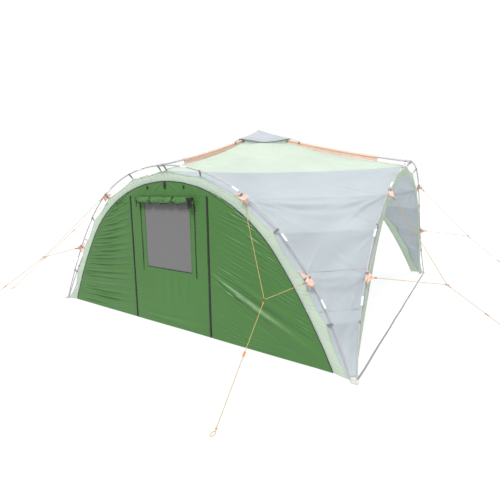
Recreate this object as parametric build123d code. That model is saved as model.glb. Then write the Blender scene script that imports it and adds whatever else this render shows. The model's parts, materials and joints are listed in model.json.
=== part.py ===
"""Dome shelter on four arch poles, with one zipped wall that has a door and a window.

Millimetres, +Z up. The origin is on the ground at the centre of the footprint, and the wall
with the door is on the -Y side. Each side is drawn once, as the front one, and turned by
90 degree steps about Z for the right, back and left sides.
"""
from math import atan2, cos, hypot, pi, radians, sin, sqrt
import os

from build123d import *

# ---- driving dimensions -------------------------------------------------------------
HALF_SIDE = 2100.0        # shelter centre to the plane of each arch pole
POLE_RISE = 1833.0        # top of each arch, on the pole's centreline
POLE_FOOT = 2061.0        # half width of each arch at the ground
POLE_BEND = 40.0          # degrees above the horizon where the crown arc meets the leg arc
POLE_R = 6.5
POLE_BORE = 5.2
POLE_FIT = 0.8             # clearance of what goes round a pole
LEG_BOW = 57.0            # how far the canopy pulls each leg inwards at mid height
SEGMENTS = 9              # pole lengths in one arch
FERRULE_LEN = 80.0
FERRULE_R = 10.0

CLOTH = 2050.0            # shelter centre to the plane of each cloth arch
CLOTH_T = 2.0
SEAM_RISE = 1774.0        # outer edge of the cloth arch, where the corner panel is sewn on
SEAM_FOOT = 2012.0
SEAM_BEND = 40.0
EDGE_RISE = 1672.0        # inner edge of the cloth arch, which is the edge of the wall
EDGE_FOOT = 1908.0
EDGE_BEND = 35.0

RIDGE_R = 9.5
RIDGE_BORE = 8.3
RIDGE_IN = (60.0, 2352.0)     # distance from the centre and height of the ridge pole's ends
RIDGE_MID = (1100.0, 2050.0)
RIDGE_OUT = (2084.0, 1838.0)
SLEEVE_IN = 400.0
SLEEVE_OUT = 1720.0
ROOF_DROP = 55.0          # roof seam below the ridge pole
VENT_REACH = 330.0        # where the roof cloth stops, below the vent cap

CAP_APEX = 2408.0
CAP_EDGE = 2250.0
CAP_REACH = 500.0         # cap corner from the centre, along each ridge

DOOR_HALF = 563.0
DOOR_TOP = 1506.0
HINGE_Z = 1508.0
HEM_GAP = 8.0
WINDOW_HALF = 345.0
WINDOW_LOW = 680.0
WINDOW_HIGH = 1440.0
ZIP_W = 28.0
ZIP_GAP = 2.0
WINDOW_ZIP_X = 410.0
WINDOW_ZIP_LOW = 630.0
WINDOW_ZIP_HIGH = 1426.0
ROLL_R = 33.0
ROLL_HALF = 415.0
ROLL_Z = 1462.0

STRAP_AT = (45.0, 535.0, 1075.0, 1550.0, 2050.0, 2480.0)   # along the pole from its top
GUSSET_AT = (1075.0, 2050.0)
STRAP_W = 25.0
STRAP_T = 1.5
ROPE_R = 2.5

PLATE = 66.0
PLATE_T = 6.0
PEG_HOLE_R = 5.0

SIDES = ("front", "right", "back", "left")

# Each guy line: the side and leg that it holds, the ring where its bridle meets, and its peg.
GUYS = {
    "front_right": (0, 1, (1465.0, -2465.0, 706.0), (1495.0, -3195.0, 6.0)),
    "front_left": (0, -1, (-1746.0, -2551.0, 736.0), (-2310.0, -3415.0, 6.0)),
    "left_front": (3, 1, (-2535.0, -1617.0, 931.0), (-3330.0, -2295.0, 6.0)),
    "right_front": (1, -1, (2616.0, -1080.0, 655.0), (3330.0, -610.0, 6.0)),
    "right_back": (1, 1, (2700.0, 1470.0, 776.0), (3560.0, 1648.0, 6.0)),
}

PARTS = {}


def save(name, solids):
    """Keep a node: one solid, or a group of separate ones."""
    if isinstance(solids, (list, tuple)):
        PARTS[name] = Compound(children=[s for one in solids for s in one.solids()])
    else:
        PARTS[name] = solids


def turned(shape, side):
    """A shape drawn on the front side, moved round to another side."""
    return shape.rotate(Axis.Z, 90.0 * side)


class Outline:
    """A symmetric arch: a crown arc about the ground centre, then a flatter arc to each foot."""

    def __init__(self, rise, foot, bend):
        self.rise, self.foot = rise, foot
        self.bend = radians(bend)
        self.corner = (rise * cos(self.bend), rise * sin(self.bend))
        lean = atan2(self.corner[1], foot - self.corner[0])
        self.half = lean - (pi / 2 - self.bend)
        chord = hypot(self.corner[1], foot - self.corner[0])
        self.leg_r = chord / (2 * sin(self.half))
        self.centre = (self.corner[0] - self.leg_r * cos(self.bend),
                       self.corner[1] - self.leg_r * sin(self.bend))
        self.crown = rise * (pi / 2 - self.bend)
        self.length = self.crown + 2 * self.half * self.leg_r

    def at(self, s):
        """(u, z) at a distance s along the arch from its top; s < 0 is the other half."""
        side, s = (1 if s >= 0 else -1), abs(s)
        if s <= self.crown:
            a = pi / 2 - s / self.rise
            return side * self.rise * cos(a), self.rise * sin(a)
        a = self.bend - (s - self.crown) / self.leg_r
        return (side * (self.centre[0] + self.leg_r * cos(a)),
                self.centre[1] + self.leg_r * sin(a))

    def half_width(self, z):
        """Half the arch's width at a height."""
        if z >= self.corner[1]:
            return sqrt(self.rise ** 2 - z ** 2)
        return self.centre[0] + sqrt(self.leg_r ** 2 - (z - self.centre[1]) ** 2)

    def region(self, plane, floor=0.0):
        """The face under the arch, down to a height above the ground."""
        foot = self.half_width(floor)
        mid_z = (floor + self.corner[1]) / 2
        mid = self.half_width(mid_z)
        left, right = (-foot, floor), (foot, floor)
        bend_l, bend_r = (-self.corner[0], self.corner[1]), self.corner
        edge = Line(left, right)
        edge += ThreePointArc(right, (mid, mid_z), bend_r)
        edge += ThreePointArc(bend_r, (0, self.rise), bend_l)
        edge += ThreePointArc(bend_l, (-mid, mid_z), left)
        return plane * make_face(edge)


POLE = Outline(POLE_RISE, POLE_FOOT, POLE_BEND)
SEAM = Outline(SEAM_RISE, SEAM_FOOT, SEAM_BEND)
EDGE = Outline(EDGE_RISE, EDGE_FOOT, EDGE_BEND)
# Drawing plane of the front cloth: local x is +X, local y is +Z, and its normal is -Y.
CLOTH_PLANE = Plane(origin=(0, -CLOTH + CLOTH_T / 2, 0), x_dir=(1, 0, 0), z_dir=(0, -1, 0))


def pole_point(s):
    """A point on the front arch pole's centreline, with the inward bow of its legs."""
    u, z = POLE.at(s)
    t = min(max(z, 0.0) / POLE_RISE, 1.0)
    return Vector(u, -(HALF_SIDE - LEG_BOW * 4 * t * (1 - t)), z)


def pole_frame(s):
    """Origin on the front pole, z along the pole away from its top, x towards the cloth seam."""
    here = pole_point(s)
    along = (pole_point(s + 1.0) - pole_point(s - 1.0)).normalized()
    if s < 0:
        along = -along
    u, z = SEAM.at(s * SEAM.length / POLE.length)
    to_seam = Vector(u, -CLOTH, z) - here
    flat = to_seam - along * to_seam.dot(along)
    return Plane(origin=here, x_dir=flat.normalized(), z_dir=along), flat.length


def tube(path, outer, bore):
    """A tube swept along an edge."""
    start = Plane(origin=path @ 0, z_dir=path % 0)
    return sweep(start * (Circle(outer) - Circle(bore)), path=path)


def bar(start, end, radius):
    """A round bar between two points."""
    run = end - start
    return Plane(origin=start, z_dir=run.normalized()) * extrude(Circle(radius), run.length)


# ---- frame --------------------------------------------------------------------------
def arch_pole():
    """Nine pole lengths that meet inside their ferrules."""
    top = POLE.length - PLATE_T - 5.0     # the pole ends stand just above the foot plates
    joints = [-top] + [POLE.length * 2 / SEGMENTS * (k - SEGMENTS / 2) for k in range(1, SEGMENTS)]
    joints.append(top)
    lengths = []
    for a, b in zip(joints, joints[1:]):
        a, b = a + 1.0, b - 1.0
        path = ThreePointArc(pole_point(a), pole_point((a + b) / 2), pole_point(b))
        lengths.append(tube(path, POLE_R, POLE_BORE))
    return lengths, joints[1:-1]


def ferrule(s):
    """A steel sleeve over a pole joint."""
    plane, _ = pole_frame(s)
    ring = Circle(FERRULE_R) - Circle(POLE_R + POLE_FIT)
    return plane * extrude(ring, FERRULE_LEN / 2, both=True)


def ridge_path():
    """Centreline of the front ridge pole, from the hub to the arch top."""
    inner, mid, outer = ((0, -r, z) for r, z in (RIDGE_IN, RIDGE_MID, RIDGE_OUT))
    return ThreePointArc(inner, mid, outer)


def ridge_place(path, reach):
    """Share of the ridge path's length that lies within a distance of the centre."""
    low, high = 0.0, 1.0
    for _ in range(40):
        mid = (low + high) / 2
        if -(path @ mid).Y < reach:
            low = mid
        else:
            high = mid
    return low


def hub():
    """The boss under the cap, with a socket for each ridge pole."""
    path = ridge_path()
    slope = path % 0
    body = Pos(0, 0, RIDGE_IN[1] + 8) * Cylinder(30, 44)
    bores = []
    for side in range(4):
        root = (path @ 0) - slope * 50
        mouth = (path @ 0) + slope * 45
        body += turned(bar(root, mouth, 13.5), side)
        bores.append(turned(bar((path @ 0) - slope * 2, mouth + slope * 5, 10.2), side))
    for bore in bores:
        body -= bore
    return body


def arch_tee():
    """Joins the ridge pole's outer end to the top of the arch pole."""
    path = ridge_path()
    end = path @ 1
    slope = path % 1
    sleeve = Pos(0, -HALF_SIDE, POLE_RISE) * Rot(0, 90, 0) * Cylinder(12.5, 56)
    socket = bar(end - slope * 55, end + slope * 8, 13.5)
    body = sleeve + socket
    body -= Pos(0, -HALF_SIDE, POLE_RISE) * Rot(0, 90, 0) * Cylinder(POLE_R + POLE_FIT, 60)
    return body - bar(end - slope * 60, end + slope * 1.0, 10.2)


def corner_foot():
    """Moulded foot at the front right corner: a spigot for each pole, and a hole for a peg."""
    centre = HALF_SIDE - PLATE / 6
    body = Pos(centre, -centre, PLATE_T / 2) * Box(PLATE, PLATE, PLATE_T)
    body = fillet(body.edges().filter_by(Axis.Z), 12.0)
    lean = (pole_point(POLE.length - 60) - pole_point(POLE.length)).normalized()
    foot = pole_point(POLE.length)
    for _ in range(2):
        body += bar(foot + lean * 4.0, foot + lean * 50.0, POLE_BORE - 0.6)
        foot, lean = Vector(-foot.Y, -foot.X, foot.Z), Vector(-lean.Y, -lean.X, lean.Z)
    hole = Pos(centre + PLATE / 4, -centre - PLATE / 4, 0) * Cylinder(PEG_HOLE_R, 4 * PLATE_T)
    return body - hole


def base_strap():
    """Webbing along the ground between the feet of one arch."""
    reach = HALF_SIDE - PLATE / 6 - PLATE / 2 - 1.0
    return Pos(0, -HALF_SIDE, 1.0) * Box(2 * reach, 18.0, 2.0)


def make_frame():
    poles, joints = arch_pole()
    path = ridge_path()
    ridge = tube(path, RIDGE_R, RIDGE_BORE)
    ferrules = [ferrule(s) for s in joints]
    for side, name in enumerate(SIDES):
        save(f"arch_pole_{name}", [turned(p, side) for p in poles])
        save(f"ridge_pole_{name}", turned(ridge, side))
    save("pole_ferrules", [turned(f, side) for side in range(4) for f in ferrules])
    save("centre_hub", hub())
    save("arch_top_tees", [turned(arch_tee(), side) for side in range(4)])
    save("corner_feet", [turned(corner_foot(), side) for side in range(4)])
    save("base_straps", [turned(base_strap(), side) for side in (1, 3)])


# ---- canopy -------------------------------------------------------------------------
def cloth_between(front_points, sheet_t):
    """Cloth ruled between a curve on the front side and the same curve on the right side."""
    right_points = [Vector(-p.Y, -p.X, p.Z) for p in front_points]
    face = Face.make_surface_from_curves(Edge.make_spline(front_points),
                                         Edge.make_spline(right_points))
    return Solid.thicken(face, sheet_t)


def roof_panel():
    """The roof between the front and right ridges, from the vent to the two arch tops."""
    path = ridge_path()
    points = []
    for k in range(5):
        reach = VENT_REACH + (CLOTH - 2.0 - VENT_REACH) * k / 4
        t = ridge_place(path, reach)
        drop = ROOF_DROP + 5.0 * k / 4
        points.append(Vector(4.0, -reach, (path @ t).Z - drop))
    points[-1] = Vector(4.0, -(CLOTH - 2.0), SEAM_RISE + 3.0)
    return cloth_between(points, CLOTH_T)


def corner_panel():
    """The saddle of cloth from one arch's outer seam round to the next, down to the corner."""
    top, steps = 8.0, 8
    points = []
    for k in range(steps + 1):
        u, z = SEAM.at(top + (SEAM.length - 26.0 - top) * k / steps)
        points.append(Vector(u, -CLOTH, z))
    return cloth_between(points, CLOTH_T)


def arch_border():
    """The flat strip of cloth round one arch."""
    outer = SEAM.region(CLOTH_PLANE, 1.0)
    inner = EDGE.region(CLOTH_PLANE, 0.0)
    keep = extrude(outer, CLOTH_T) - Pos(0, 5, 0) * extrude(inner, CLOTH_T + 10)
    keep = keep - Pos(0, -CLOTH, -500) * Box(2 * EDGE_FOOT, 40, 1100)
    return Pos(0, CLOTH_T + 1.5, 0) * keep


def ridge_sleeve():
    """Cloth sleeve round the ridge pole, with a fin down to the roof seam."""
    whole = ridge_path()
    a, b = ridge_place(whole, SLEEVE_IN), ridge_place(whole, SLEEVE_OUT)
    path = ThreePointArc(whole @ a, whole @ ((a + b) / 2), whole @ b)
    sleeve = tube(path, 12.5, 11.0)
    start = Plane(origin=path @ 0, x_dir=(1, 0, 0), z_dir=path % 0)
    down = -1 if start.y_dir.Z > 0 else 1
    fin = start * Pos(0, down * (11.5 + 16.0)) * Rectangle(2.0, 32.0)
    return sleeve + sweep(fin, path=path)


def vent_cap():
    """Four-sided cap that stands clear of the vent at the top of the roof."""
    def pyramid(low, reach, top, small):
        wide = Plane.XY.offset(low) * Rot(0, 0, 45) * Rectangle(reach * sqrt(2), reach * sqrt(2))
        tip = Plane.XY.offset(top) * Rot(0, 0, 45) * Rectangle(small, small)
        return loft([wide, tip], ruled=True)
    slope = (CAP_APEX - CAP_EDGE) / CAP_REACH
    outer = pyramid(CAP_EDGE, CAP_REACH, CAP_APEX, 12.0)
    inner = pyramid(CAP_EDGE - 30.0, CAP_REACH + 30.0 / slope - 8.0, CAP_APEX - 4.0, 6.0)
    return outer - inner


def pole_strap(s):
    """Webbing from a loop round the pole to the cloth seam."""
    plane, reach = pole_frame(s)
    inner = POLE_R + POLE_FIT
    loop = extrude(Circle(inner + STRAP_T) - Circle(inner), STRAP_W / 2, both=True)
    tail = reach - 14.0 - inner
    flat = Pos(inner + STRAP_T / 2 + tail / 2, 0, 0) * Box(tail, STRAP_T, STRAP_W)
    return plane * (loop + flat)


def gusset(s):
    """Cloth from the seam over the pole, which the guy line's bridle draws outwards."""
    plane, reach = pole_frame(s)
    out = plane.to_local_coords(Vector(0, -1, 0) + plane.origin)
    over = 1.0 if out.Y > 0 else -1.0

    def band(x, y, half, thick=1.6):
        section = Plane(origin=(x, over * y, 0), x_dir=(0, 0, 1), z_dir=(1, 0, 0))
        return section * Rectangle(2 * half, thick)
    cloth = loft([band(reach - 8.0, 6.0, 95.0), band(12.0, 15.0, 62.0)], ruled=True)
    cloth += loft([band(12.0, 15.0, 62.0), band(-9.0, 15.0, 52.0)], ruled=True)
    return plane * cloth


def gusset_tip(side, leg, at):
    """Where a guy line's bridle leaves a gusset, just outside its cloth."""
    plane, _ = pole_frame(leg * at)
    out = plane.to_local_coords(Vector(0, -1, 0) + plane.origin)
    over = 1.0 if out.Y > 0 else -1.0
    along = 26.0 if at == GUSSET_AT[0] else -26.0
    tip = plane.from_local_coords(Vector(5.0, over * 24.0, along))
    return tip.rotate(Axis.Z, 90.0 * side)


def sleeve_band():
    """Black tie round the ridge sleeve."""
    path = ridge_path()
    t = ridge_place(path, 660.0)
    place = Plane(origin=path @ t, z_dir=path % t)
    return place * extrude(Circle(14.5) - Circle(12.8), 12.0, both=True) \
        - Pos(0, (path @ t).Y, (path @ t).Z - 15.0) * Box(3.0, 60.0, 30.0)


def make_canopy():
    for side, name in enumerate(("front_right", "back_right", "back_left", "front_left")):
        save(f"roof_panel_{name}", turned(roof_panel(), side))
        save(f"corner_panel_{name}", turned(corner_panel(), side))
    for side, name in enumerate(SIDES):
        save(f"arch_border_{name}", turned(arch_border(), side))
    save("ridge_sleeves", [turned(ridge_sleeve(), side) for side in range(4)])
    save("vent_cap", vent_cap())
    legs = [(side, leg) for side in range(4) for leg in (-1, 1)]
    save("gussets", [turned(gusset(leg * at), side) for side, leg in legs for at in GUSSET_AT])
    straps = [turned(pole_strap(leg * at), side) for side, leg in legs for at in STRAP_AT]
    save("pole_straps", straps + [turned(sleeve_band(), side) for side in range(4)])


# ---- wall, door and window ----------------------------------------------------------
FACE_Y = -CLOTH - CLOTH_T / 2          # outer face of the wall cloth


def wall_cloth():
    """The whole wall as one sheet, before the door is cut out of it."""
    inset = 7.0
    outline = Outline(EDGE_RISE - inset, EDGE_FOOT - inset, EDGE_BEND)
    return extrude(outline.region(CLOTH_PLANE), CLOTH_T)


def front_box(x0, x1, z0, z1, y0=FACE_Y, thick=CLOTH_T):
    """A flat piece on the wall, from y0 inwards."""
    return Pos((x0 + x1) / 2, y0 + thick / 2, (z0 + z1) / 2) * Box(x1 - x0, thick, z1 - z0)


def make_wall():
    cloth = wall_cloth()
    side_edge = DOOR_HALF + 2 * ZIP_GAP + ZIP_W
    tall, wide = 2 * SEAM_RISE, 2 * SEAM_FOOT
    seam = DOOR_TOP + 4.0
    save("wall_panel_left", cloth & front_box(-wide, -side_edge, -1, tall, -CLOTH - 20, 40))
    save("wall_panel_right", cloth & front_box(side_edge, wide, -1, tall, -CLOTH - 20, 40))
    middle = side_edge - 1.0
    save("wall_panel_top", cloth & front_box(-middle, middle, seam, tall, -CLOTH - 20, 40))

    window = front_box(-WINDOW_HALF, WINDOW_HALF, WINDOW_LOW, WINDOW_HIGH, -CLOTH - 20, 40)
    door = front_box(-DOOR_HALF, DOOR_HALF, HEM_GAP, DOOR_TOP) - window
    save("door_panel", door)
    lap = 15.0
    save("window_mesh", front_box(-WINDOW_HALF - lap, WINDOW_HALF + lap, WINDOW_LOW - lap,
                                  WINDOW_HIGH + lap, FACE_Y + CLOTH_T + 0.5, 1.0))

    tape_in = DOOR_HALF + ZIP_GAP
    tape = front_box(tape_in, tape_in + ZIP_W, 2.0, seam - 4.0, FACE_Y - 1.0, 3.0)
    save("wall_zip_tapes", [tape, tape.mirror(Plane.YZ)])
    tape = front_box(WINDOW_ZIP_X - 9, WINDOW_ZIP_X + 9, WINDOW_ZIP_LOW, WINDOW_ZIP_HIGH,
                     FACE_Y - 2.3, 1.8)
    save("window_zip_tapes", [tape, tape.mirror(Plane.YZ)])

    save_slider("door_slider", tape_in + ZIP_W / 2, 62.0, 8.0, FACE_Y - 1.6)
    save_slider("window_slider", WINDOW_ZIP_X, WINDOW_ZIP_HIGH - 40.0, 7.0, FACE_Y - 2.8)

    roll_y = FACE_Y - 1.5 - ROLL_R
    roll = Pos(0, roll_y, ROLL_Z) * Rot(0, 90, 0) * Cylinder(ROLL_R, 2 * ROLL_HALF)
    roll -= Pos(0, roll_y, ROLL_Z) * Rot(0, 90, 0) * Cylinder(9.0, 2 * ROLL_HALF + 4)
    save("window_cover_roll", roll)
    ties = []
    for x in (-395.0, -200.0, 140.0, 385.0):
        ring = extrude(Circle(ROLL_R + 3.5) - Circle(ROLL_R + 0.5), 9.0, both=True)
        tie = Pos(x, roll_y, ROLL_Z) * Rot(0, 90, 0) * ring
        ties.append(tie - front_box(x - 20, x + 20, ROLL_Z - 60, ROLL_Z + 60, FACE_Y - 0.5, 30))
    save("roll_ties", ties)

    hooks = []
    for x, z, wide, tall in ((-275.0, 1600.0, 16.0, 34.0), (0.0, 1622.0, 22.0, 60.0),
                             (275.0, 1600.0, 16.0, 34.0)):
        tab = front_box(x - wide / 2, x + wide / 2, z - tall / 2, z + tall / 2, FACE_Y - 2.5, 2.0)
        peg = Pos(x, FACE_Y - 7.0, z) * Rot(0, 90, 0) * Cylinder(4.5, wide + 8.0)
        hooks.append(tab + peg)
    save("wall_toggles", hooks)


def save_slider(name, x, z, half, face):
    """A zip slider with its pull, hanging on the left and on the right tape."""
    body = Pos(x, face - 4.0, z) * Box(2 * half, 7.0, 20.0)
    body = fillet(body.edges().filter_by(Axis.Y), 3.0)
    bridge = Pos(x, face - 8.5, z) * Box(5.0, 4.0, 12.0)
    pull = Pos(x, face - 11.0, z - 26.0) * Box(8.0, 2.5, 46.0)
    whole = body + bridge + pull
    save(f"{name}_right", whole)
    save(f"{name}_left", whole.mirror(Plane.YZ))


# ---- guy lines ----------------------------------------------------------------------
RING_R, RING_WIRE = 13.0, 2.5


def make_guys():
    rings = []
    for name, (side, leg, ring_at, peg_at) in GUYS.items():
        knot, peg = Vector(*ring_at), Vector(*peg_at)
        upper, lower = (gusset_tip(side, leg, at) for at in GUSSET_AT)
        to_upper, to_lower = (upper - knot).normalized(), (lower - knot).normalized()
        run = (peg - knot).normalized()
        # The bridle turns round the ring's wire, at two points 9 mm either side of the middle.
        across = (to_lower - to_upper).normalized()
        turn = [knot - across * 4.5, knot + across * 4.5]
        radius = 4.6
        upper_end = upper + (turn[0] - upper).normalized() * 5.0
        lower_end = lower + (turn[1] - lower).normalized() * 5.0
        route = FilletPolyline(upper_end, *turn, lower_end, radius=radius)
        start = Plane(origin=route @ 0, z_dir=route % 0)
        bridle = sweep(start * Circle(ROPE_R), path=route)
        save(f"bridle_{name}", bridle)
        ideal = pi * ROPE_R ** 2 * route.length
        print(f"bridle_{name}: length {route.length:.0f} mm, bend radius {radius} mm, "
              f"volume / ideal {bridle.volume / ideal:.4f}")

        inward = (to_upper + to_lower).normalized()
        wire = knot + inward * (ROPE_R + RING_WIRE + 0.6)
        centre = wire + run * RING_R
        normal = run.cross(inward.cross(across)).normalized()
        plane = Plane(origin=centre, x_dir=run, z_dir=normal)
        rings.append(plane * Torus(RING_R, RING_WIRE))
        top = centre + run * (RING_R + RING_WIRE + 0.5)
        line = (peg - top).normalized()
        save(f"guy_line_{name}", bar(top, peg, ROPE_R))
        print(f"guy_line_{name}: length {(peg - top).length:.0f} mm, straight")

        # A flat tensioner part-way down, with the line running through it.
        middle = top + line * 0.45 * (peg - top).length
        place = Plane(origin=middle, x_dir=line.cross(Vector(0, 0, 1)), z_dir=line)
        slider = extrude(RectangleRounded(17, 10, 4) - Circle(ROPE_R + 0.5), 20.0, both=True)
        save(f"tensioner_{name}", place * slider)
        print(f"tensioner_{name}: axis {line.X:.9f} {line.Y:.9f} {line.Z:.9f}")
    save("guy_rings", rings)


def main():
    make_frame()
    make_canopy()
    make_wall()
    make_guys()
    os.makedirs("parts", exist_ok=True)
    for name, shape in PARTS.items():
        export_step(shape, f"parts/{name}.step")
    print(len(PARTS), "nodes")


main()
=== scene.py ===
"""Looks of the dome shelter: its cloth, webbing, ropes and zips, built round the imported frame.

Metres, +Z up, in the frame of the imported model. The side with the zipped wall is on -Y. What
repeats on the four sides is drawn for the front one and turned about Z in 90 degree steps.
"""

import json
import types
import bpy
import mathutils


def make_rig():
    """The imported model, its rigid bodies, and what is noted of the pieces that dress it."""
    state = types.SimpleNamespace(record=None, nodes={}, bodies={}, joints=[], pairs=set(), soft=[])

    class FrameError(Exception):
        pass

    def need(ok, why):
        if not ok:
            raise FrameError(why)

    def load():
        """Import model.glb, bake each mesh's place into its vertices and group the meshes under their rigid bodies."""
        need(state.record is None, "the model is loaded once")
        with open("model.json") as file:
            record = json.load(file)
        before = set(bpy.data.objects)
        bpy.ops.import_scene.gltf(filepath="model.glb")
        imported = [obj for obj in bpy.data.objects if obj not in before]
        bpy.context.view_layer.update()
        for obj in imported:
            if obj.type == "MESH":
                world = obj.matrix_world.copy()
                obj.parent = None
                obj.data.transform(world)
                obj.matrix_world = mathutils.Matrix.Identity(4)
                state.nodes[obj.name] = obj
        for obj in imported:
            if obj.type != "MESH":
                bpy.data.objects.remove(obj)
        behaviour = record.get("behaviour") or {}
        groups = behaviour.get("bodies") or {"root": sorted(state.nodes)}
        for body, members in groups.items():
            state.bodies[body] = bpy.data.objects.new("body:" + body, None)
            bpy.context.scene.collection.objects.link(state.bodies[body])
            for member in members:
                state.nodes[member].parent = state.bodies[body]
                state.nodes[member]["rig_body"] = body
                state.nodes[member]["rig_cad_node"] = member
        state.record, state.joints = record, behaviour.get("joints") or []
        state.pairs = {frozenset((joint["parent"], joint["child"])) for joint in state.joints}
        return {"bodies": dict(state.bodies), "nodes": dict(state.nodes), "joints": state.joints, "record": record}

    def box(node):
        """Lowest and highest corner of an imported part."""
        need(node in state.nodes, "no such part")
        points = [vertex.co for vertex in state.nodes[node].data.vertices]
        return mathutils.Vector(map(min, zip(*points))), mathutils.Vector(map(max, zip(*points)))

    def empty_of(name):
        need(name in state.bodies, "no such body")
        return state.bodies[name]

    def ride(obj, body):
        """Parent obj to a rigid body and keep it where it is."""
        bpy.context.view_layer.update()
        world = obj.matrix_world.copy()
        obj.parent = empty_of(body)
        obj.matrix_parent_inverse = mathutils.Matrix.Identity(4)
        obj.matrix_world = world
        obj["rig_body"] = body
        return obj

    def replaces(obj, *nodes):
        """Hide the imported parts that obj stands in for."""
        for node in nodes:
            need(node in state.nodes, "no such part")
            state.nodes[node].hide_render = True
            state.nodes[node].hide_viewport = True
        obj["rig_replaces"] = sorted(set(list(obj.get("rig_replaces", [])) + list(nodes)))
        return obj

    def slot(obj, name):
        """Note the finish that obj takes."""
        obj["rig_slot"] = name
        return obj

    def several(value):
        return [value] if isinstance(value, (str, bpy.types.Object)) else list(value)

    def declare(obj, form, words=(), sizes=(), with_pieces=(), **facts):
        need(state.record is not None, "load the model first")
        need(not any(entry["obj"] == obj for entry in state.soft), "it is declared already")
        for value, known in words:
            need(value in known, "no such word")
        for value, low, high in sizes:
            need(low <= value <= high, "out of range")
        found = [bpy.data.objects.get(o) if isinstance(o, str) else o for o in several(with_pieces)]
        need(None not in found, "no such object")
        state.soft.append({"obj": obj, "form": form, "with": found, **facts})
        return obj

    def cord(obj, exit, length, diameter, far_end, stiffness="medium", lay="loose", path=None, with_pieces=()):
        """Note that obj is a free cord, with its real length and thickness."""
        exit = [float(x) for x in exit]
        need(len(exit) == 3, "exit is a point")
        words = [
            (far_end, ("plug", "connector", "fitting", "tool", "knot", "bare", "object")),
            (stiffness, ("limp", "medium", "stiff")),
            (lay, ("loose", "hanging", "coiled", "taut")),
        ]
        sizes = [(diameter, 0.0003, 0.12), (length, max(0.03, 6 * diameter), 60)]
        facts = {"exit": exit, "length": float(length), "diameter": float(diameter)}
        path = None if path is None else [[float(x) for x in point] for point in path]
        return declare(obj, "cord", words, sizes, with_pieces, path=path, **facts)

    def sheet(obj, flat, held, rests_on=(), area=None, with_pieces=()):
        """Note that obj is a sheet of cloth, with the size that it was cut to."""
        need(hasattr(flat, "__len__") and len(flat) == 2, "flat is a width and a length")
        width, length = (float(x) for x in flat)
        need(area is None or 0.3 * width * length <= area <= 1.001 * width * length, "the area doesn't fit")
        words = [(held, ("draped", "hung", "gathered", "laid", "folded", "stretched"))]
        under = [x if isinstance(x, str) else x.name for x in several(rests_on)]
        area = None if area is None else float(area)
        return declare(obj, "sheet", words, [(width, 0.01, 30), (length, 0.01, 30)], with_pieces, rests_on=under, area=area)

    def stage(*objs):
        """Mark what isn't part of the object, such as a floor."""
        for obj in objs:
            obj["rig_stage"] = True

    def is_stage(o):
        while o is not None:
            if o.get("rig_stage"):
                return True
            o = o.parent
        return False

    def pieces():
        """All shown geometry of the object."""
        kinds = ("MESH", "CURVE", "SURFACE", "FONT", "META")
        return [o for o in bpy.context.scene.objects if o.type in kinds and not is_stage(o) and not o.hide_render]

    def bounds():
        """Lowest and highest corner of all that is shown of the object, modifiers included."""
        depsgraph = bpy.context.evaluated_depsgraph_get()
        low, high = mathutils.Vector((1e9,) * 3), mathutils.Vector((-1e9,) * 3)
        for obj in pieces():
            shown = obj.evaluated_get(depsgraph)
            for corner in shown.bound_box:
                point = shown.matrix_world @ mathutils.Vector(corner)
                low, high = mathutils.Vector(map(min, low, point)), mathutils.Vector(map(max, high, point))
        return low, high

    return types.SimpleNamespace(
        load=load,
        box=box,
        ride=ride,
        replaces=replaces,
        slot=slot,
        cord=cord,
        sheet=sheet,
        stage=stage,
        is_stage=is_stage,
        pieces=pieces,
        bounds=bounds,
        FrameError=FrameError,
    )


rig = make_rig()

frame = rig.load()
CAD_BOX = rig.bounds()

import json
from math import atan2, cos, hypot, pi, radians, sin

import bpy
import numpy as np
from mathutils import Matrix, Vector

MM = 0.001
SIDES = ("front", "right", "back", "left")
CORNERS = ("front_right", "back_right", "back_left", "front_left")
BODY = "shelter"
DOOR_BODY = "door"

# ---- dimensions that the cloth shares with the frame -----------------------------------
POLE_R = 6.5 * MM
POLE_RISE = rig.box("arch_pole_front")[1].z - POLE_R
POLE_FOOT = 2061 * MM
HALF_SIDE = -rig.box("arch_top_tees")[0].y - 12.5 * MM
LEG_BOW = 57 * MM
CLOTH = -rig.box("wall_panel_left")[0].y - 1 * MM
STRAP_AT = (0.045, 0.535, 1.075, 1.550, 2.050, 2.480)
GUSSET_AT = (1.075, 2.050)
RIDGE_POINTS = ((0.060, 2.352), (1.100, 2.050), (2.084, 1.838))
SLEEVE = (0.400, 1.720)
ROOF_DROP = 0.055
VENT_REACH = 0.330
ROOF_END = 2.048         # where a roof panel meets the corner panel below it
CAP_APEX, CAP_EDGE, CAP_TIP = 2.408, 2.241, 0.528
CAP_TIE_END = 0.655
ACROSS, UPWARDS = np.array((1.0, 0.0, 0.0)), np.array((0.0, 0.0, 1.0))
ROPE_D = 5 * MM
RING_R = 13 * MM

DOOR_LOW, DOOR_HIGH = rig.box("door_panel")
WALL_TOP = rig.box("wall_panel_top")[1].z
NET_LAP = 15 * MM
WINDOW_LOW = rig.box("window_mesh")[0] + Vector((NET_LAP, 0, NET_LAP))
WINDOW_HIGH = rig.box("window_mesh")[1] - Vector((NET_LAP, 0, NET_LAP))
ROLL_LOW, ROLL_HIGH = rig.box("window_cover_roll")
ROLL_R = (ROLL_HIGH.z - ROLL_LOW.z) / 2
ROLL_CENTRE = (ROLL_LOW + ROLL_HIGH) / 2


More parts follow.
